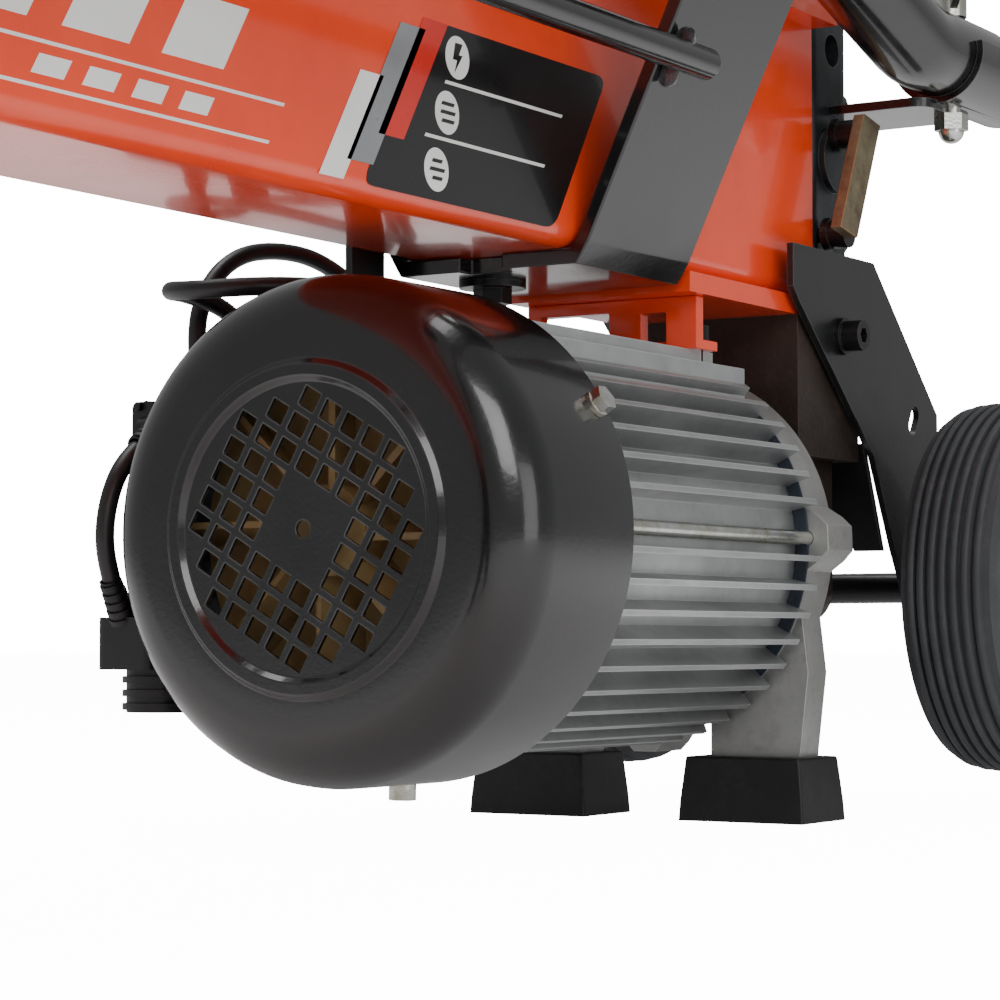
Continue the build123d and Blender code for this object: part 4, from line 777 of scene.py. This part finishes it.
# ---------------------------------------------------------------- beam details
@dataclass
class Welds:
    """Hand-laid weld beads where the rails and cradles meet."""

    bead: float = 4.8 * MM
    step: float = 3.6 * MM
    seed: int = 7
    low_rail: float = 284 * MM
    high_rail: float = 330 * MM
    wing_foot: Flat = (44 * MM, 219 * MM)
    wing_slope_deg: float = 25.0
    from_edge: float = 6 * MM
    under: Flat = (0.5 * MM, -6.5 * MM)
    over: Flat = (7.5 * MM, 6.2 * MM)
    short_of_rail_end: dict[str, float] = field(default_factory=lambda: {"low": 36 * MM, "high": 20 * MM})
    lines: list[tuple[str, Point, Point]] = field(default_factory=list)

    def collect(self) -> None:
        """Find the seams: rail to wing, above and below each rail, at both cradles."""
        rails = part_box("log_rails")
        for cradle in ("rear_cradle", "front_cradle"):
            low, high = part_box(cradle)
            for name, z in (("low", self.low_rail), ("high", self.high_rail)):
                rise = z - self.wing_foot[1]
                wing = self.wing_foot[0] + rise * math.tan(math.radians(self.wing_slope_deg))
                for side in (-1, 1):
                    end = min(high.x - self.from_edge, rails[1].x - self.short_of_rail_end[name])
                    label = f"{cradle}_{name}_{'left' if side < 0 else 'right'}"
                    for part, shift_y, shift_z in (("under", *self.under), ("over", *self.over)):
                        y = side * (wing + shift_y)
                        front, rear = (low.x + self.from_edge, y, z + shift_z), (end, y, z + shift_z)
                        self.lines.append((f"{label}_{part}", front, rear))

    def build(self) -> None:
        """Lay each bead as a row of overlapping drops."""
        self.collect()
        draw = random.Random(self.seed)
        for label, start, end in self.lines:
            self.lay(label, Vector(start), Vector(end), draw)

    def lay(self, label: str, start: Vector, end: Vector, draw: random.Random) -> None:
        """Lay one bead: a rod whose radius swells at every drop.

        Args:
            label: word for the seam.
            start: where the bead starts.
            end: where it ends.
            draw: the source of the small differences between drops.
        """
        length = (end - start).length
        along = (end - start).normalized()
        count = max(8, int(length / (self.step / 4)))
        profile = []
        for i in range(count + 1):
            swell = 0.78 + 0.26 * abs(math.sin(math.pi * i / 4)) + draw.uniform(-0.07, 0.07)
            close = min(1.0, i / 3, (count - i) / 3)
            profile.append((length * i / count, self.bead * swell * math.sqrt(max(close, 0.02))))
        ring = profile + [(length, 0.0002), (0.0, 0.0002)]
        points, faces = lathe(ring, tuple(start), tuple(along), 14)
        put(f"weld_{label}", points, faces, WELD, "frame")


# ---------------------------------------------------------------- wheels
@dataclass
class Wheel:
    """Solid ribbed tyre of one wheel."""

    side: str
    centre: Point
    radius: float = 80 * MM
    half: float = 21 * MM
    rim: float = 54.5 * MM
    ribs: int = 7

    def build(self) -> None:
        """Turn the tyre with rounded ribs, a shoulder and a stepped side wall."""
        tread = self.half - 4 * MM
        profile = [(-self.half + 3 * MM, self.rim), (-self.half + 1.2 * MM, self.rim + 1 * MM),
                   (-self.half + 0.2 * MM, self.rim + 6 * MM), (-self.half + 1.6 * MM, self.rim + 7 * MM),
                   (-self.half, self.rim + 10 * MM), (-self.half, self.radius - 9 * MM),
                   (-self.half + 1.4 * MM, self.radius - 4.5 * MM)]
        pitch = 2 * tread / self.ribs
        for i in range(self.ribs):
            middle = -tread + pitch * (i + 0.5)
            crown = self.radius - 2.6 * MM * (abs(middle) / tread) ** 3
            profile += [(middle - pitch * 0.42, crown - 2.4 * MM), (middle - pitch * 0.3, crown - 0.5 * MM),
                        (middle - pitch * 0.12, crown), (middle + pitch * 0.12, crown),
                        (middle + pitch * 0.3, crown - 0.5 * MM), (middle + pitch * 0.42, crown - 2.4 * MM)]
        profile += [(-a, r) for a, r in reversed(profile[:7])]
        points, faces = lathe(profile, self.centre, (0, 1, 0), 160)
        tyre = put(f"{self.side}_tyre_rubber", points, faces, TYRE, f"{self.side}_road_wheel")
        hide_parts(f"{self.side}_tyre")


# ---------------------------------------------------------------- motor
@dataclass
class MotorTrim:
    """The gasket between the motor's housing and its rear shield."""

    centre_y: float = 9 * MM
    centre_z: float = 111 * MM
    set_back: float = 1.2 * MM
    thick: float = 1.1 * MM
    inner: float = 70.2 * MM
    outer: float = 75.6 * MM

    def build(self) -> None:
        """Turn the gasket as a flat ring about the motor's axis."""
        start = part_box("motor_housing")[1].x - self.set_back
        profile = [(0, self.inner), (0, self.outer), (self.thick, self.outer), (self.thick, self.inner)]
        points, faces = lathe(profile, (start, self.centre_y, self.centre_z), (1, 0, 0), 128)
        put("shield_gasket", points, faces, GASKET, "frame")


EDGE_ROUNDING_MM: dict[str, float] = {
    "beam_channel": 1.2, "rear_cradle": 1.0, "front_cradle": 1.0, "wedge": 0.6, "wedge_plate": 0.8,
    "front_leg": 0.8, "pusher": 0.8, "tank_cover": 0.8, "motor_hanger": 0.6, "pump_body": 1.0,
    "valve_block": 0.8, "side_strap": 0.5, "wheel_bracket": 0.5, "bow_saddles": 0.6, "fan_cover": 0.35,
    "motor_housing": 0.3, "rear_shield": 0.8, "front_shield": 0.6, "rubber_boots": 1.0,
    "motor_screws": 0.4, "valve_screws": 0.4, "frame_screws": 0.4, "saddle_fasteners": 0.5,
    "switch_box": 0.8, "switch_lid": 0.5, "terminal_box": 0.8, "inlet_plug": 0.5, "axle_caps": 0.6,
    "left_wheel": 0.8, "right_wheel": 0.8, "dipstick": 0.6, "bleed_screw": 0.5, "lever_bracket": 0.4,
    "cooling_fan": 0.4, "switch_bracket": 0.5, "start_button": 0.6, "stop_button": 0.6,
}


def dress_nodes(frame: dict[str, Any]) -> None:
    """Give every CAD node the finish of its slot, smooth shading and rounded edges.
    """
    slots = {row["node"]: row["material_slot"] for row in frame["record"]["subparts"]}
    for name, node in frame["nodes"].items():
        finish = SLOT_FINISH[slots[name]]
        node.data.materials.clear()
        node.data.materials.append(material_of(finish))
        for polygon in node.data.polygons:
            polygon.material_index = 0
        soften(node, EDGE_ROUNDING_MM.get(name, 0.0))
        LOG.info("%s: %s", name, finish.name)


def plain(box: Iterable[Vector]) -> list[list[float]]:
    """Turn a box's two corners into plain lists.

    Args:
        box: its low and high corner.

    Returns:
        The same corners as lists of numbers.
    """
    return [[float(v) for v in corner] for corner in box]


def main() -> None:
    """Build the whole scene round the frame."""
    logging.basicConfig(level=logging.INFO, format="%(name)s %(message)s")
    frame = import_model()
    studio = Studio()
    studio.camera()
    for lead in LEADS:
        lead.build()
    studio.table()
    studio.lights()
    dress_nodes(frame)
    Sticker().build()
    Welds().build()
    for side, sign in (("left", -1), ("right", 1)):
        Wheel(side, (WHEEL_X, sign * WHEEL_Y, AXLE_Z)).build()
    MotorTrim().build()


if __name__ == "__main__":
    main()
